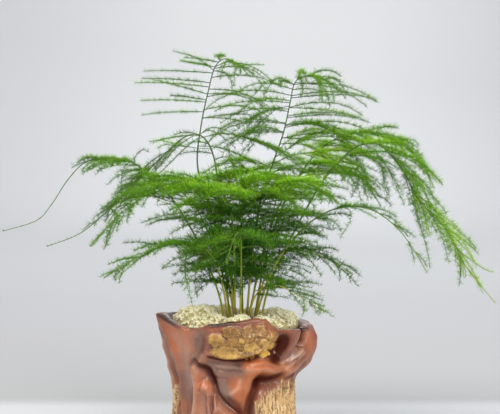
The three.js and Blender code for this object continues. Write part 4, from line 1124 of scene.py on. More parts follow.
def soil_mesh():
    """A plug that fills the hollow, with an uneven top and crumbs scattered in the middle."""
    floor = CAVITY_FLOOR + GAP
    sides = [(1, height) for height in (floor, *CAVITY_RINGS[1:-1])]
    top = [(i / SOIL_RINGS, SOIL_TOP) for i in range(SOIL_RINGS, -1, -1)]
    bm = spun([(0, floor), *sides, *top], SOIL_COLUMNS)
    x, y, height = coordinates(bm).T
    share = np.hypot(x, y)
    around = np.arctan2(x, -y)
    radius = share * (cavity_radius(np.degrees(around), height) - GAP)
    places = round_axis(around, radius, height)
    uneven = 0.9 * noise_at(places, 6, 2) + 0.4 * noise_at(places, 1.8)
    places[:, 2] += np.where(height > SOIL_TOP - 1, (uneven - 0.3) * held((1 - share) * 8), 0)
    place_verts(bm, places)
    rng = np.random.default_rng(SEEDS["crumbs"])
    spread = np.sqrt(rng.uniform(0, 1, CRUMBS["count"])) * (CROWN_CLEARING + CRUMBS["past_clearing"])
    way = rng.uniform(0, 2 * math.pi, CRUMBS["count"])
    level = np.full(CRUMBS["count"], SOIL_TOP + CRUMBS["lift"])
    spots = np.stack([CROWN[0] + spread * np.cos(way), CROWN[1] + spread * np.sin(way), level], 1)
    sizes = rng.uniform(*CRUMBS["sizes"], CRUMBS["count"])
    crumbs = copies_of(crumb_shape(), random_axes(rng, sizes, CRUMBS["squash"]), spots)
    return mesh_from("soil_finished", [group_of(bm), crumbs])


def tuft_rule(index):
    """Where a share across and outwards lies on a tuft, and its height there, as in the solid."""
    draw = dice(SEEDS["tuft"] + SEEDS["step"] * index)
    step = 2 * math.pi / len(TUFT_HEIGHTS)
    start = (index - 0.5) * step + TUFT_SPACING
    sweep = step - 2 * TUFT_SPACING

    def spot_at(across, outwards):
        angle = start + sweep * np.asarray(across, float)
        heading = np.stack([np.sin(angle), -np.cos(angle)], -1)
        inner = np.array(CROWN) + heading * CROWN_CLEARING
        reach = cavity_radius(np.degrees(angle), np.full(angle.shape, SOIL_TOP)) - TUFT_INSET
        return mixed(inner, heading * reach[..., None], np.asarray(outwards, float)[..., None])

    lumps = []
    for _ in range(LUMPS_PER_TUFT):
        across, outwards = mixed(*LUMP["spread"], draw()), mixed(*LUMP["spread"], draw())
        lumps.append(spot_at(across, outwards))

    def height_at(across, outwards):
        spot = spot_at(across, outwards)
        shoulder = (1 - np.abs(2 * across - 1) ** 3) * (1 - np.abs(2 * outwards - 1) ** 3)
        dome = (TUFT_HEIGHTS[index] - TUFT_EDGE - LUMP["height"]) * np.sqrt(held(shoulder))
        nearness = [1 - ((spot - lump) ** 2).sum(-1) / LUMP["radius"] ** 2 for lump in lumps]
        return TUFT_EDGE + dome + LUMP["height"] * held(np.maximum.reduce(nearness)) * shoulder

    return spot_at, height_at


def knobs_at(points):
    """0 in the creases between the knobs of a cushion of moss, rising to 1 on them."""
    cells = [noise.voronoi(Vector(point))[0] for point in points / KNOBS["size"]]
    return held(np.array([second - first for first, second, *_ in cells]) / KNOBS["crease"])


def tuft_cushion(spot_at, height_at):
    """A closed cushion with a knobbly top that the moss tips stand on."""
    bm = bmesh.new()
    bmesh.ops.create_grid(bm, x_segments=TUFT_CELLS, y_segments=TUFT_CELLS, size=0.5)
    edges = [edge for edge in bm.edges if edge.is_boundary]
    walls = bmesh.ops.extrude_edge_only(bm, edges=edges)["geom"]
    feet = set(of_kind(walls, bmesh.types.BMVert))
    rim = [edge for edge in of_kind(walls, bmesh.types.BMEdge) if edge.is_boundary]
    bmesh.ops.holes_fill(bm, edges=rim, sides=0)
    low = np.array([vert in feet for vert in bm.verts])
    across, outwards = coordinates(bm).T[:2] + 0.5
    level = SOIL_TOP + GAP + np.where(low, 0, height_at(across, outwards))
    places = np.stack([*spot_at(across, outwards).T, level], 1)
    places[:, 2] += np.where(low, 0, (knobs_at(places) - KNOBS["sink"]) * KNOBS["height"])
    place_verts(bm, places)
    bmesh.ops.recalc_face_normals(bm, faces=bm.faces)
    return group_of(bm)


def sprig_shape():
    """A tip of reindeer moss: three round lobes with three short points."""
    bm = bmesh.new()
    for turn, out, up, radius in ((0, 0, 0.55, 0.62), (40, 0.62, 0.2, 0.46), (190, 0.58, 0.32, 0.42)):
        at = Matrix.Rotation(math.radians(turn), 4, "Z") @ Matrix.Translation((out, 0, up))
        bmesh.ops.create_icosphere(bm, subdivisions=1, radius=radius, matrix=at)
    for turn, lean in ((100, 38), (250, 30), (330, 48)):
        aim = Matrix.Rotation(math.radians(turn), 4, "Z") @ Matrix.Rotation(math.radians(lean), 4, "Y")
        bmesh.ops.create_cone(
            bm, cap_ends=True, segments=3, radius1=0.3, radius2=0.08, depth=1.3,
            matrix=aim @ Matrix.Translation((0, 0, 0.75)),
        )
    return group_of(bm)


def sprigs_on(index, spot_at, height_at):
    """Tips of moss all over a tuft, each about square to the slope there. A few hang over its sides."""
    rng = np.random.default_rng(SEEDS["sprigs"] + index)
    across, outwards = rng.uniform(-SPRIGS["over_edge"], 1 + SPRIGS["over_edge"], (2, SPRIGS["count"]))
    outwards = held(outwards)
    places = np.stack([*spot_at(across, outwards).T, SOIL_TOP + GAP + height_at(held(across), outwards)], 1)
    step = SPRIGS["slope_step"]
    side = np.pad(spot_at(across + step, outwards) - spot_at(across - step, outwards), ((0, 0), (0, 1)))
    away = np.pad(spot_at(across, outwards + step) - spot_at(across, outwards - step), ((0, 0), (0, 1)))
    side[:, 2] = height_at(held(across + step), outwards) - height_at(held(across - step), outwards)
    away[:, 2] = height_at(across, held(outwards + step)) - height_at(across, held(outwards - step))
    up = unit(unit(np.cross(away, side)) + rng.normal(0, SPRIGS["stray"], (SPRIGS["count"], 3)))
    up[:, 2] = np.abs(up[:, 2])
    turned = unit(np.cross(up, rng.normal(0, 1, (SPRIGS["count"], 3))))
    sizes = rng.uniform(*SPRIGS["sizes"], SPRIGS["count"]) * settings().sprig_size
    axes = np.stack([turned, np.cross(up, turned), up], 2) * sizes[:, None, None]
    return copies_of(sprig_shape(), axes, places - up * SPRIGS["sink"])


def moss_material():
    """Dried reindeer moss: chalky cream tips with a hint of green, painted olive shade where it is deep, no
    gloss."""
    look = settings()
    material, tree = new_material("dried_reindeer_moss")
    place = object_place(tree)
    # Clouds of greener moss about 8 mm across and a grain of 0.5 mm.
    clouds = noise_texture(tree, place, 120, 3)
    grain = noise_texture(tree, place, 1800, 2)
    tips = colour_ramp(tree, clouds, (0.36, "#e6e4b0"), (0.5, look.moss), (0.66, "#fdf9e4"))
    # Painted shade: olive on the cushion and at the feet of the tips, cream at their tops.
    grown = mix_colour(tree, stored(tree, "rise"), look.moss_painted_shade, tips)
    dusty = mix_colour(tree, grain, grown, "#fbf6da")
    finish_material(tree, principled(tree, {
        "Base Color": mix_colour(tree, 0.35, grown, dusty), "Roughness": 0.95,
        "Normal": bumped(tree, grain, 0.2, 0.6), "Specular IOR Level": 0.2,
    }))
    return material


def tuft_mesh(index):
    """One tuft of moss, which stores how far up its own tip each point lies."""
    rule = tuft_rule(index)
    cushion = tuft_cushion(*rule)
    sprigs = sprigs_on(index, *rule)
    mesh = mesh_from(f"moss_{index + 1}", [cushion, sprigs])
    up = sprigs["points"][:, 2].reshape(SPRIGS["count"], -1)
    low, high = up.min(1, keepdims=True), up.max(1, keepdims=True)
    rise = mixed(SPRIGS["deepest"], 1, np.sqrt((up - low) / (high - low)))
    store(mesh, "rise", np.concatenate([np.zeros(len(cushion["points"])), rise.reshape(-1)]))
    return mesh


def smooth_line(points, steps):
    """A Catmull-Rom line through the points, with the given number of steps between each two."""
    points = np.asarray(points, float)
    line = []
    for i in range(len(points) - 1):
        a, b = points[max(i - 1, 0)], points[i]
        c, d = points[i + 1], points[min(i + 2, len(points) - 1)]
        for k in range(steps):
            t = k / steps
            line.append(
                a * (-t + 2 * t * t - t ** 3) / 2
                + b * (2 - 5 * t * t + 3 * t ** 3) / 2
                + c * (t + 4 * t * t - 3 * t ** 3) / 2
                + d * (t ** 3 - t * t) / 2
            )
    line.append(points[-1])
    return np.array(line)


def lengths_along(line):
    return np.concatenate([[0], np.cumsum(np.linalg.norm(np.diff(line, axis=0), axis=1))])


def along(line, distances):
    """Points and directions at distances along a line."""
    reached = lengths_along(line)
    distances = np.asarray(distances, float)
    i = np.clip(np.searchsorted(reached, distances, side="left") - 1, 0, len(line) - 2)
    tangents = unit(line[i + 1] - line[i])
    return line[i] + tangents * (distances - reached[i])[..., None], tangents


def probes_of(line):
    """Points every two millimetres along a line, for testing distances."""
    whole = lengths_along(line)[-1]
    count = max(1, math.ceil(whole / PROBE))
    return along(line, whole * np.arange(count + 1) / count)[0]


def angle_between(first, second):
    cosine = np.dot(first, second) / np.linalg.norm(first) / np.linalg.norm(second)
    return math.acos(max(-1.0, min(1.0, cosine)))


def solid_line(cane):
    """The line of a cane's solid, from its foot in the soil to its tip."""
    above = smooth_line(cane["line"], LINE_STEPS)
    inner = [
        point
        for before, point, after in zip(above, above[1:], above[2:])
        if angle_between(point - before, after - point) > LEAST_BEND
    ]
    foot = (*cane["line"][0][:2], SOIL_TOP - ROOT_DEPTH)
    return np.array([foot, above[0], *inner, above[-1]])


def turned_about(vector, axis, angle):
    """vector turned about a unit axis."""
    return (
        vector * math.cos(angle)
        + np.cross(axis, vector) * math.sin(angle)
        + axis * np.dot(axis, vector) * (1 - math.cos(angle))
    )


def shoot_line(start, direction, length, droop, sway, needle, steps):
    """A shoot leaves its cane in one direction and bends down and sideways as it grows."""
    up = np.array((0.0, 0.0, 1.0))
    line = [start]
    heading = np.array(direction)
    for i in range(steps):
        heading[2] -= droop * (i + 0.5) / steps / steps
        heading = unit(turned_about(heading, up, sway / steps))
        line.append(line[i] + heading * (length / steps))
    heading = heading - (0, 0, droop / steps / 2)
    line.append(line[steps] + unit(heading) * needle)
    return np.array(line)


def usual_length(share, lengths):
    blend = ((1 - share) * (1 - 2 * share), 4 * share * (1 - share), share * (2 * share - 1))
    return sum(weight * length for weight, length in zip(blend, lengths))


def shoot_direction(tangent, lean, turn, rise):
    """The flat direction of a shoot that leaves a cane at an angle, some way round it."""
    upright = 1 if tangent[2] > UPRIGHT else 0
    facing = unit(np.array((tangent[0], tangent[1] + upright, 0)))
    side = np.cross(facing, (0, 0, 1))
    side = unit(side - tangent * np.dot(side, tangent))
    outwards = turned_about(side, tangent, turn)
    direction = outwards * math.sin(math.radians(lean)) + tangent * math.cos(math.radians(lean))
    climb = math.asin(direction[2])
    elevation = climb * (FLATNESS if climb > 0 else 1) + rise
    flat = unit(np.array((direction[0], direction[1], 0)))
    return np.array((*(flat[:2] * math.cos(elevation)), math.sin(elevation)))


def over_moss(probes):
    low = probes[:, 2] < MOSS_CLEARANCE["height"]
    return bool((low & (np.hypot(*probes[:, :2].T) < MOSS_CLEARANCE["radius"])).any())


def is_clear(probes, placed, owner, reach):
    """True if no probe comes within reach of those that belong to another cane."""
    low, high = probes.min(0) - reach, probes.max(0) + reach
    for points, other in placed:
        if other != owner:
            near = points[((points > low) & (points < high)).all(1)]
            if len(near) and (((probes[:, None] - near[None]) ** 2).sum(2) < reach * reach).any():
                return False
    return True


def try_turn(k):
    return (1 if k % 2 else -1) * math.ceil(k / 2) * TRY_TURN


def solid_shoots(cane, owner, path, wood):
    """The shoots of a cane's solid. Those with no room are left out."""
    draw = dice(SEEDS["shoots"] + SEEDS["step"] * owner)
    begin, end, count, lengths, lean, turn, droop = cane["shoots"]
    whole = lengths_along(path)[-1]
    shoots = []
    for i in range(count):
        share = min(1, max(0, (i + SHOOT_STRAY * (2 * draw() - 1)) / (count - 1)))
        point, tangent = along(path, whole * mixed(begin, end, share))
        length = usual_length(share, lengths) * mixed(*SHOOT_LENGTHS, draw())
        stray, sway = (2 * draw() - 1) * SHOOT_JITTER, draw() - 0.5
        drop = droop[i % 2] * mixed(*DROOP_SHARES, draw())
        rise = SHOOT_RISE + (2 * draw() - 1) * RISE_JITTER
        steps = max(1, math.floor(length / SHOOT_REACH + 0.5))
        for k in range(TRIES):
            around = math.radians(i * turn) + stray + try_turn(k)
            direction = shoot_direction(tangent, lean, around, rise)
            line = shoot_line(point, direction, length, drop, sway, cane["needle"], steps)
            probes = probes_of(line)
            if not over_moss(probes) and is_clear(probes, wood, owner, SHOOT_CLEARANCE):
                wood.append((probes, owner))
                shoots.append(
                    {"share": share, "direction": direction, "length": length, "drop": drop, "sway": sway}
                )
                break
    return shoots


def finer_ones(cane, draw):
    """Shoots of the same kind between those of the cane's solid, which lie flat or all round as those do."""
    begin, end, count, lengths, lean, turn, droop = cane["shoots"]
    whole = lengths_along(cane["path"])[-1]
    extra = round(cane["fill"] * (count - 1))
    wanted = []
    for j in range(extra):
        share = min(1, max(0, (j + 0.5 + FINER["stray"] * (draw() - 0.5)) / extra))
        tangent = along(cane["path"], whole * mixed(begin, end, share))[1]
        around = math.radians(j * turn + 90 * (turn != 180)) + (2 * draw() - 1) * SHOOT_JITTER
        shoot = {
            "share": share,
            "length": usual_length(share, lengths) * mixed(*FINER["lengths"], draw()),
            "drop": droop[j % 2] * mixed(*DROOP_SHARES, draw()),
            "sway": FINER["sway"] * (draw() - 0.5),
        }
        rise = SHOOT_RISE + FINER["rise"] * cane["fuzz"] * (2 * draw() - 1) * RISE_JITTER
        wanted.append(dict(shoot, direction=shoot_direction(tangent, lean, around, rise)))
    return wanted


def drawn_ones(cane, draw):
    """Shoots drawn one by one, each with the others that fan out from it at different points."""
    shoots = []
    for points, bare, spread, tone, others in DRAWN_SHOOTS.get(cane["name"], ()):
        drawn = smooth_line(points, 3)
        own = {"tone": (tone - cane["tone"]) / TONE_SPREAD, "bare": bare, "spread": spread}
        shoots.append(dict(own, line=drawn))
        for k in range(others):
            rest = drawn[round(0.5 * draw() * len(drawn)):]
            opening = np.linspace(0, 1, len(rest))[:, None] ** 0.8
            sides = np.array([2 * draw() - 1 for _ in FAN]) * FAN * (1 + k / others)
            shoots.append(dict(own, line=rest + opening * sides))
    return shoots


def fine_shoots(cane, owner, known):
    """The finished spray's shoots: the solid's own, more of their kind between them, and the drawn ones."""
    draw = dice(SEEDS["foliage"] + SEEDS["step"] * owner)
    begin, end = cane["shoots"][:2]
    whole = lengths_along(cane["path"])[-1]
    shoots = []
    for shoot in [*known, *finer_ones(cane, draw)]:
        line = shoot_line(
            along(cane["path"], whole * mixed(begin, end, shoot["share"]))[0], shoot["direction"],
            shoot["length"], shoot["drop"], shoot["sway"], FINER["tip"] * cane["needle"], FINER["steps"],
        )
        if not over_moss(probes_of(line)):
            spread = mixed(1, cane["end"], shoot["share"])
            shoots.append({"line": line, "tone": draw() - 0.5, "bare": TWIG["start"], "spread": spread})
    return shoots + drawn_ones(cane, draw)


def tubes(name, lines, radii, resolution):
    """Tapering round wood along lines, as a group for mesh_from."""
    curve = bpy.data.curves.new(name, "CURVE")
    curve.dimensions = "3D"
    curve.bevel_depth = 1
    curve.bevel_resolution = resolution
    curve.use_fill_caps = True
    for line in lines:
        spline = curve.splines.new("POLY")
        spline.points.add(len(line) - 1)
        spline.points.foreach_set("co", np.pad(line, ((0, 0), (0, 1)), constant_values=1).ravel())
        taper = np.linspace(1, 0, len(line)) ** TAPER
        spline.points.foreach_set("radius", mixed(radii[1], radii[0], taper))
    drawn = linked(name, curve)
    mesh = bpy.data.meshes.new_from_object(drawn.evaluated_get(bpy.context.evaluated_depsgraph_get()))
    bm = bmesh.new()
    bm.from_mesh(mesh)
    bmesh.ops.remove_doubles(bm, verts=bm.verts, dist=WELD)
    bpy.data.objects.remove(drawn)
    bpy.data.curves.remove(curve)
    bpy.data.meshes.remove(mesh)
    return group_of(bm)


def thin_cone():
    """A bmesh of a cone one long and one in radius, pointed at its end."""
    bm = bmesh.new()
    bmesh.ops.create_cone(
        bm, cap_ends=True, segments=3, radius1=1, radius2=0, depth=1, matrix=Matrix.Translation((0, 0, 0.5))
    )
    return bm


def twig_shape():
    """A thin twig, one long, that keeps most of its thickness up to its middle."""
    bm = thin_cone()
    geometry = bm.verts[:] + bm.edges[:] + bm.faces[:]
    cut = bmesh.ops.bisect_plane(bm, geom=geometry, plane_co=(0, 0, 0.5), plane_no=(0, 0, 1))["geom_cut"]
    bmesh.ops.scale(bm, vec=(1.5, 1.5, 1), verts=of_kind(cut, bmesh.types.BMVert))
    return group_of(bm)


def aimed(headings, sideways, radius, lengths):
    """Axes for thin copies along headings."""
    side = unit(sideways - headings * (sideways * headings).sum(1, keepdims=True))
    over = np.cross(headings, side)
    return np.stack([side * radius, over * radius, headings * lengths[:, None]], 2)


def upwards_from(tangents):
    """The directions square to tangents that rise most."""
    return unit(np.array((0, 0, 1.0)) - tangents * tangents[:, 2:3])


def twigs_on(shoots, cane, rng):
    """Twigs on both sides of each shoot, longest near its foot, lying in the flat of the spray."""
    rows = []
    for shoot in shoots:
        whole = lengths_along(shoot["line"])[-1]
        count = max(1, int(whole * (1 - shoot["bare"]) / TWIG["spacing"]))
        order = (np.arange(count) + rng.uniform(-TWIG["stray"], TWIG["stray"], count)) / max(count - 1, 1)
        shares = np.clip(mixed(shoot["bare"], TWIG["end"], order), *TWIG["within"])
        points, tangents = along(shoot["line"], whole * shares)
        up = upwards_from(tangents)
        side = np.cross(tangents, up) * np.where(np.arange(count) % 2, 1, -1)[:, None]
        lean = TWIG["lean"] + rng.uniform(-TWIG["lean_stray"], TWIG["lean_stray"], count)
        lean = np.radians(lean)[:, None]
        rise = cane["fuzz"] * rng.normal(*TWIG["rise"], (count, 1))
        headings = unit(tangents * np.cos(lean) + side * np.sin(lean) + up * rise)
        profile = np.clip(order / TWIG["opening"], TWIG["first"], 1) * (1 - TWIG["taper"] * held(order))
        size = cane["twig"] * shoot["spread"] * min(TWIG["longest"], whole / TWIG["full_shoot"])
        lengths = size * profile * rng.uniform(*TWIG["share"], count)
        rows.append((points, headings, lengths, up, np.full(count, shoot["tone"])))
    return joined(rows)


def needles_along(points, tangents, flats, sizes, tones, lift, rng):
    """Whorls of needles round points of the wood, more of them upwards than down."""
    whorls, each = len(points), NEEDLE["per_whorl"]
    points, tangents, flats, sizes, tones = (
        np.repeat(rows, each, axis=0) for rows in (points, tangents, flats, sizes, tones)
    )
    first = rng.uniform(0, 2 * math.pi, whorls)
    around = np.repeat(first, each) + np.tile(np.arange(each) * 2 * math.pi / each, whorls)
    around = (around + rng.normal(0, NEEDLE["turn_stray"], whorls * each))[:, None]
    side = unit(np.cross(tangents, flats))
    outwards = side * np.cos(around) + flats * np.sin(around)
    lean = np.radians(NEEDLE["lean"] + rng.normal(0, NEEDLE["lean_stray"], whorls * each))[:, None]
    headings = unit(tangents * np.cos(lean) + outwards * np.sin(lean) + np.array((0, 0, lift)))
    lengths = sizes * rng.uniform(*NEEDLE["share"], whorls * each) * (1 + NEEDLE["upward"] * headings[:, 2])
    return points, headings, lengths, side, tones


def spray_needles(cane, shoots, twigs, rng):
    """The needles along a spray's twigs, and those along its shoots and the end of its cane."""
    feet, headings, lengths, flats, tones = twigs
    counts = np.maximum((lengths * ON_TWIG["reach"] / NEEDLE["spacing"]).round().astype(int), 1)
    owner = np.repeat(np.arange(len(feet)), counts)
    order = np.concatenate([np.arange(count) + 0.5 for count in counts])
    share = ON_TWIG["bare"] + ON_TWIG["span"] * order / counts[owner]
    spots = feet[owner] + headings[owner] * (lengths[owner] * share)[:, None]
    sizes = np.full(len(owner), ON_TWIG["size"] * cane["needle"])
    on_twigs = (spots, headings[owner], flats[owner], sizes, tones[owner])
    rows = []
    for shoot in shoots:
        whole = lengths_along(shoot["line"])[-1]
        count = max(1, int(whole * (1 - shoot["bare"]) / NEEDLE["spacing"] / ON_SHOOT["spacing"]))
        places = whole * mixed(shoot["bare"], ON_SHOOT["end"], np.arange(count) / count)
        size = cane["needle"] * min(1, 0.5 + 0.6 * shoot["spread"])
        rows.append((*along(shoot["line"], places), np.full(count, size), np.full(count, shoot["tone"])))
    count, size = ON_CANE["whorls"], ON_CANE["size"] * cane["needle"]
    places = lengths_along(cane["path"])[-1] * np.linspace(cane["shoots"][1], ON_CANE["end"], count)
    rows.append((*along(cane["path"], places), np.full(count, size), np.zeros(count)))
    points, tangents, sizes, own_tones = joined(rows)
    on_shoots = (points, tangents, upwards_from(tangents), sizes, own_tones)
    lift = NEEDLE["lift"] * min(cane["fuzz"], 1)
    return joined([needles_along(*on_twigs, lift, rng), needles_along(*on_shoots, lift, rng)])


def leaf_map(mesh, tones, rises):
    """The foliage's own map: how bright a point is across, and upwards how far along its needle it lies, with
    canes and shoots below all needles. The corners of a face are set apart, so that none is a line."""
    layer = mesh.uv_layers.new(name="OFBake")
    corners = np.empty(len(mesh.loops), np.int32)
    mesh.loops.foreach_get("vertex_index", corners)
    sizes = np.empty(len(mesh.polygons), np.int32)
    mesh.polygons.foreach_get("loop_total", sizes)
    corner = np.arange(len(corners)) - np.repeat(np.cumsum(sizes) - sizes, sizes)
    across = np.clip(tones, 0.01, 0.98)[corners] + MAP_APART * np.isin(corner, (1, 2))
    upwards = rises[corners] + MAP_APART * (corner > 1)
    layer.uv.foreach_set("vector", np.stack([across, upwards], 1).astype(np.float32).ravel())


def needle_tones(points, cane, own, rng):
    """How bright the needles that stand at some points are, with painted light and shade: their spray's own
    tone and that of the place.
    """
    shade = cane["tone"] + TONE_SPREAD * own
    for middle, reach, change in TONE_SPOTS:
        away = (points - middle) / reach
        shade = shade + change * np.exp(-(away ** 2).sum(1))
    return np.clip(shade + rng.normal(0, TONE_STRAY, len(points)), 0.02, 0.97)


def frond_mesh(cane, owner, known):
    """One cane with its shoots, twigs and needles."""
    rng = np.random.default_rng(SEEDS["foliage"] + owner)
    twig, needle = twig_shape(), group_of(thin_cone())
    shoots = fine_shoots(cane, owner, known)
    wood = tubes("wood", [cane["path"]], CANE_RADII, 1)
    shoot_wood = tubes("shoot_wood", [shoot["line"] for shoot in shoots], SHOOT_RADII, 0)
    twigs = twigs_on(shoots, cane, rng)
    feet, headings, lengths, flats, twig_tones = twigs
    twig_wood = copies_of(twig, aimed(headings, flats, TWIG["radius"], lengths), feet)
    points, ways, sizes, sides, own_tones = spray_needles(cane, shoots, twigs, rng)
    needles = copies_of(needle, aimed(ways, sides, settings().needle_radius / MM, sizes), points)
    mesh = mesh_from(f"frond_{cane['name']}", [wood, shoot_wood, twig_wood, needles])
    per_twig, per_needle = len(twig["points"]), len(needle["points"])
    greening = (wood["points"][:, 2] - GREENING["cane"]) / GREENING["over"]
    tones = np.concatenate([
        np.clip(greening + rng.uniform(-TONE_STRAY, TONE_STRAY), 0.02, 0.95),
        np.clip((shoot_wood["points"][:, 2] - GREENING["shoot"]) / GREENING["over"], 0.4, 0.95),
        np.repeat(needle_tones(feet, cane, twig_tones, rng), per_twig),
        np.repeat(needle_tones(points, cane, own_tones, rng), per_needle),
    ])
    rises = np.concatenate([
        np.full(len(wood["points"]), MAP_RISE["cane"]),
        np.full(len(shoot_wood["points"]), MAP_RISE["shoot"]),
        np.full(per_twig * len(feet), MAP_RISE["twig"]),
        np.tile(MAP_RISE["needle"] + MAP_RISE["along"] * needle["points"][:, 2], len(points)),
    ])
    leaf_map(mesh, tones, rises)
    return mesh


def foliage_material():
    """Living asparagus fern: thin waxy needles, painted deep green as shade in the shaded sprays and yellow
    green as light in the sunlit ones, a little paler at each tip, on olive wood that turns brown towards the
    soil."""
    look = settings()
    material, tree = new_material("living_fern_needles")
    leaf_place = add_node(tree, "ShaderNodeUVMap", uv_map="OFBake").outputs["UV"]
    spot = add_node(tree, "ShaderNodeSeparateXYZ", {"Vector": leaf_place})
    tone, rise = spot.outputs["X"], spot.outputs["Y"]
    deep, bright = (
        colour_ramp(tree, rise, (0.25, foot), (0.6, middle), (1.0, tip))
        for foot, middle, tip in (
            ("#1c3c04", look.leaf_deep, "#4a8416"),
            ("#62a60e", look.leaf_bright, "#b4de38"),
        )
    )
    # Tone paints light and shade: deep green where shaded, bright and young green where lit.
    leaf = layered(tree, deep, (tone, bright), (ranged(tree, tone, 0.88, 1.04), look.leaf_young_and_lit))
    wood = colour_ramp(
        tree, tone, (0.0, "#7a5a34"), (0.1, "#b8ac48"), (0.3, look.cane), (0.55, "#62802e"), (1.0, "#46662a")
    )
    is_leaf = calculated(tree, "GREATER_THAN", rise, MAP_RISE["leaf_from"])
    finish_material(tree, principled(tree, {
        "Base Color": mix_colour(tree, is_leaf, wood, leaf), "Roughness": 0.6, "Specular IOR Level": 0.15,
    }))
    return material


def stage_material():
    """Matt studio board: a pale table, a slightly darker floor behind it, and a wall with a pool of light
    painted in its middle."""
    material, tree = new_material("matt_studio_board")
    split = add_node(tree, "ShaderNodeSeparateXYZ", {"Vector": object_place(tree)})
    sideways, away = split.outputs["X"], split.outputs["Y"]
    tone = colour_ramp(tree, ranged(tree, away, *BOARD_TONES["from_to"]), *BOARD_TONES["stops"])
    # Painted pool of light on the middle of the wall.
    offset = calculated(tree, "ABSOLUTE", calculated(tree, "SUBTRACT", sideways, WALL_LIGHT_POOL["middle"]))
    middle = ranged(tree, offset, *WALL_LIGHT_POOL["fades"], 1.0, 0.0, interpolation_type="SMOOTHSTEP")
    up = ranged(tree, away, *WALL_LIGHT_POOL["rises"], interpolation_type="SMOOTHSTEP")
    light_pool = calculated(tree, "MULTIPLY", middle, up)
    colour = mix_colour(tree, light_pool, tone, WALL_LIGHT_POOL["tone"])
    board = principled(tree, {"Base Color": colour, "Roughness": 0.9})
    # A camera behind the wall looks through its back.
    is_back = add_node(tree, "ShaderNodeNewGeometry").outputs["Backfacing"]
    clear = add_node(tree, "ShaderNodeBsdfTransparent").outputs[0]
    shader = add_node(tree, "ShaderNodeMixShader", {0: is_back, 1: board, 2: clear})
    finish_material(tree, shader.outputs[0])
    return material


def make_stage_board():
    """A floor that curves up into a backdrop far behind."""
    left, far, radius, arcs = -BOARD["half_width"], BOARD["far"], BOARD["curve"], BOARD["arcs"]
    bm = bmesh.new()
    verts = [bm.verts.new((left, BOARD["near"], 0)), bm.verts.new((left, far, 0))]
    for i in range(1, arcs + 1):
        turn = math.pi / 2 * i / arcs
        verts.append(bm.verts.new((left, far + radius * math.sin(turn), radius * (1 - math.cos(turn)))))
    verts.append(bm.verts.new((left, far + radius, BOARD["top"])))
    edges = [bm.edges.new(pair) for pair in zip(verts, verts[1:])]
    moved = bmesh.ops.extrude_edge_only(bm, edges=edges)["geom"]
    bmesh.ops.translate(bm, vec=(-2 * left, 0, 0), verts=of_kind(moved, bmesh.types.BMVert))
    mesh = mesh_of(bm, "studio_board", 1)
    mesh.materials.append(stage_material())
    linked("studio_board", mesh)


def aim(thing, target):
    thing.rotation_euler = (Vector(target) - thing.location).to_track_quat("-Z", "Y").to_euler()


def add_soft_light(name, place, size, power, colour):
    data = bpy.data.lights.new(name, "AREA")
    data.shape = "DISK"
    data.size = size
    data.energy = power
    data.color = linear(colour)[:3]
    light = linked(name, data)
    light.location = place
    aim(light, LIT_PLACE)


def add_camera():
    """The camera of the photo: a little above the plant's middle, looking slightly down."""
    data = bpy.data.cameras.new("photo_camera")
    data.sensor_width = CAMERA["sensor"]
    data.lens = CAMERA["lens"]
    data.clip_end = CAMERA["clip_end"]
    camera = linked("photo_camera", data)
    back = Vector((0, -math.cos(CAMERA["rise"]), math.sin(CAMERA["rise"])))
    camera.location = Vector(CAMERA["target"]) + back * CAMERA["distance"]
    aim(camera, CAMERA["target"])
    bpy.context.scene.camera = camera


def add_world():
    world = bpy.data.worlds.new("studio_air")
    world.use_nodes = True
    tree = world.node_tree
    tree.nodes.clear()
    sky = add_node(tree, "ShaderNodeBackground", {"Color": AIR["tone"], "Strength": AIR["strength"]})
    add_node(tree, "ShaderNodeOutputWorld", {"Surface": sky.outputs[0]})
    bpy.context.scene.world = world


class FERN_OT_pot(bpy.types.Operator):
    """Make the stump pot of painted clay"""

    bl_idname = "fern.pot"
    bl_label = "Stump pot"

    def execute(self, context):
        finished_piece("pot_finished", pot_mesh(), clay_material(), ["pot"])
        return {"FINISHED"}


class FERN_OT_soil(bpy.types.Operator):
    """Make the bed of soil"""

    bl_idname = "fern.soil"
    bl_label = "Soil"

    def execute(self, context):
        finished_piece("soil_finished", soil_mesh(), soil_material(), ["soil"])
        return {"FINISHED"}


class FERN_OT_moss(bpy.types.Operator):
    """Make the nine tufts of reindeer moss"""

    bl_idname = "fern.moss"
    bl_label = "Moss tufts"

    def execute(self, context):
        material = moss_material()
        for index in range(len(TUFT_HEIGHTS)):
            name = f"moss_tuft_{index + 1}"
            finished_piece(f"{name}_finished", tuft_mesh(index), material, [name])
        return {"FINISHED"}


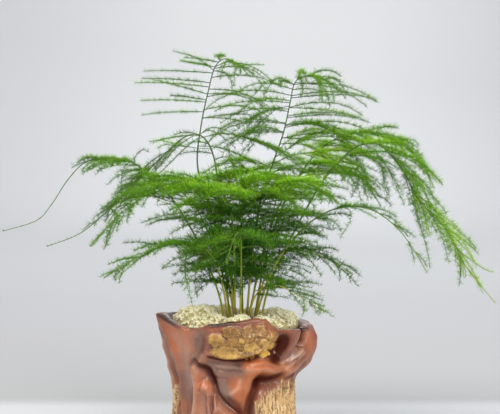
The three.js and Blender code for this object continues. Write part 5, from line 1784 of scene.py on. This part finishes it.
class FERN_OT_fronds(bpy.types.Operator):
    """Make the canes with their feathery sprays"""

    bl_idname = "fern.fronds"
    bl_label = "Fronds"

    def execute(self, context):
        material = foliage_material()
        paths = [solid_line(cane) for cane in CANES]
        wood = [(probes_of(path), owner) for owner, path in enumerate(paths)]
        known = [solid_shoots(cane, owner, paths[owner], wood) for owner, cane in enumerate(CANES)]
        for owner, cane in enumerate(CANES):
            above = smooth_line(cane["line"], FINE_LINE_STEPS)
            grown = dict(cane, path=np.concatenate([paths[owner][:1], above]))
            mesh = frond_mesh(grown, owner, known[owner])
            finished_piece(f"frond_{cane['name']}", mesh, material, [f"cane_{cane['name']}"])
        return {"FINISHED"}


class FERN_OT_stage(bpy.types.Operator):
    """Make the studio floor, the lights and the camera"""

    bl_idname = "fern.stage"
    bl_label = "Stage and camera"

    def execute(self, context):
        make_stage_board()
        for light in LIGHTS:
            add_soft_light(*light)
        add_world()
        add_camera()
        context.scene.view_settings.view_transform = "Standard"
        return {"FINISHED"}


class FERN_PT_pieces(bpy.types.Panel):
    """The fern's pieces and settings"""

    bl_idname = "FERN_PT_pieces"
    bl_label = "Potted fern"
    bl_space_type = "VIEW_3D"
    bl_region_type = "UI"
    bl_category = "Fern"

    def draw(self, context):
        for kind in OPERATORS:
            self.layout.operator(kind.bl_idname)
        for name in FernSettings.__annotations__:
            self.layout.prop(context.scene.fern, name)


OPERATORS = (FERN_OT_pot, FERN_OT_soil, FERN_OT_moss, FERN_OT_fronds, FERN_OT_stage)
CLASSES = (FernSettings, *OPERATORS, FERN_PT_pieces)


def register():
    for kind in CLASSES:
        bpy.utils.register_class(kind)
    bpy.types.Scene.fern = bpy.props.PointerProperty(type=FernSettings)


def unregister():
    del bpy.types.Scene.fern
    for kind in reversed(CLASSES):
        bpy.utils.unregister_class(kind)


def main():
    register()
    bpy.ops.fern.stage()
    bpy.ops.fern.pot()
    bpy.ops.fern.soil()
    bpy.ops.fern.moss()
    bpy.ops.fern.fronds()


if __name__ == "__main__":
    main()
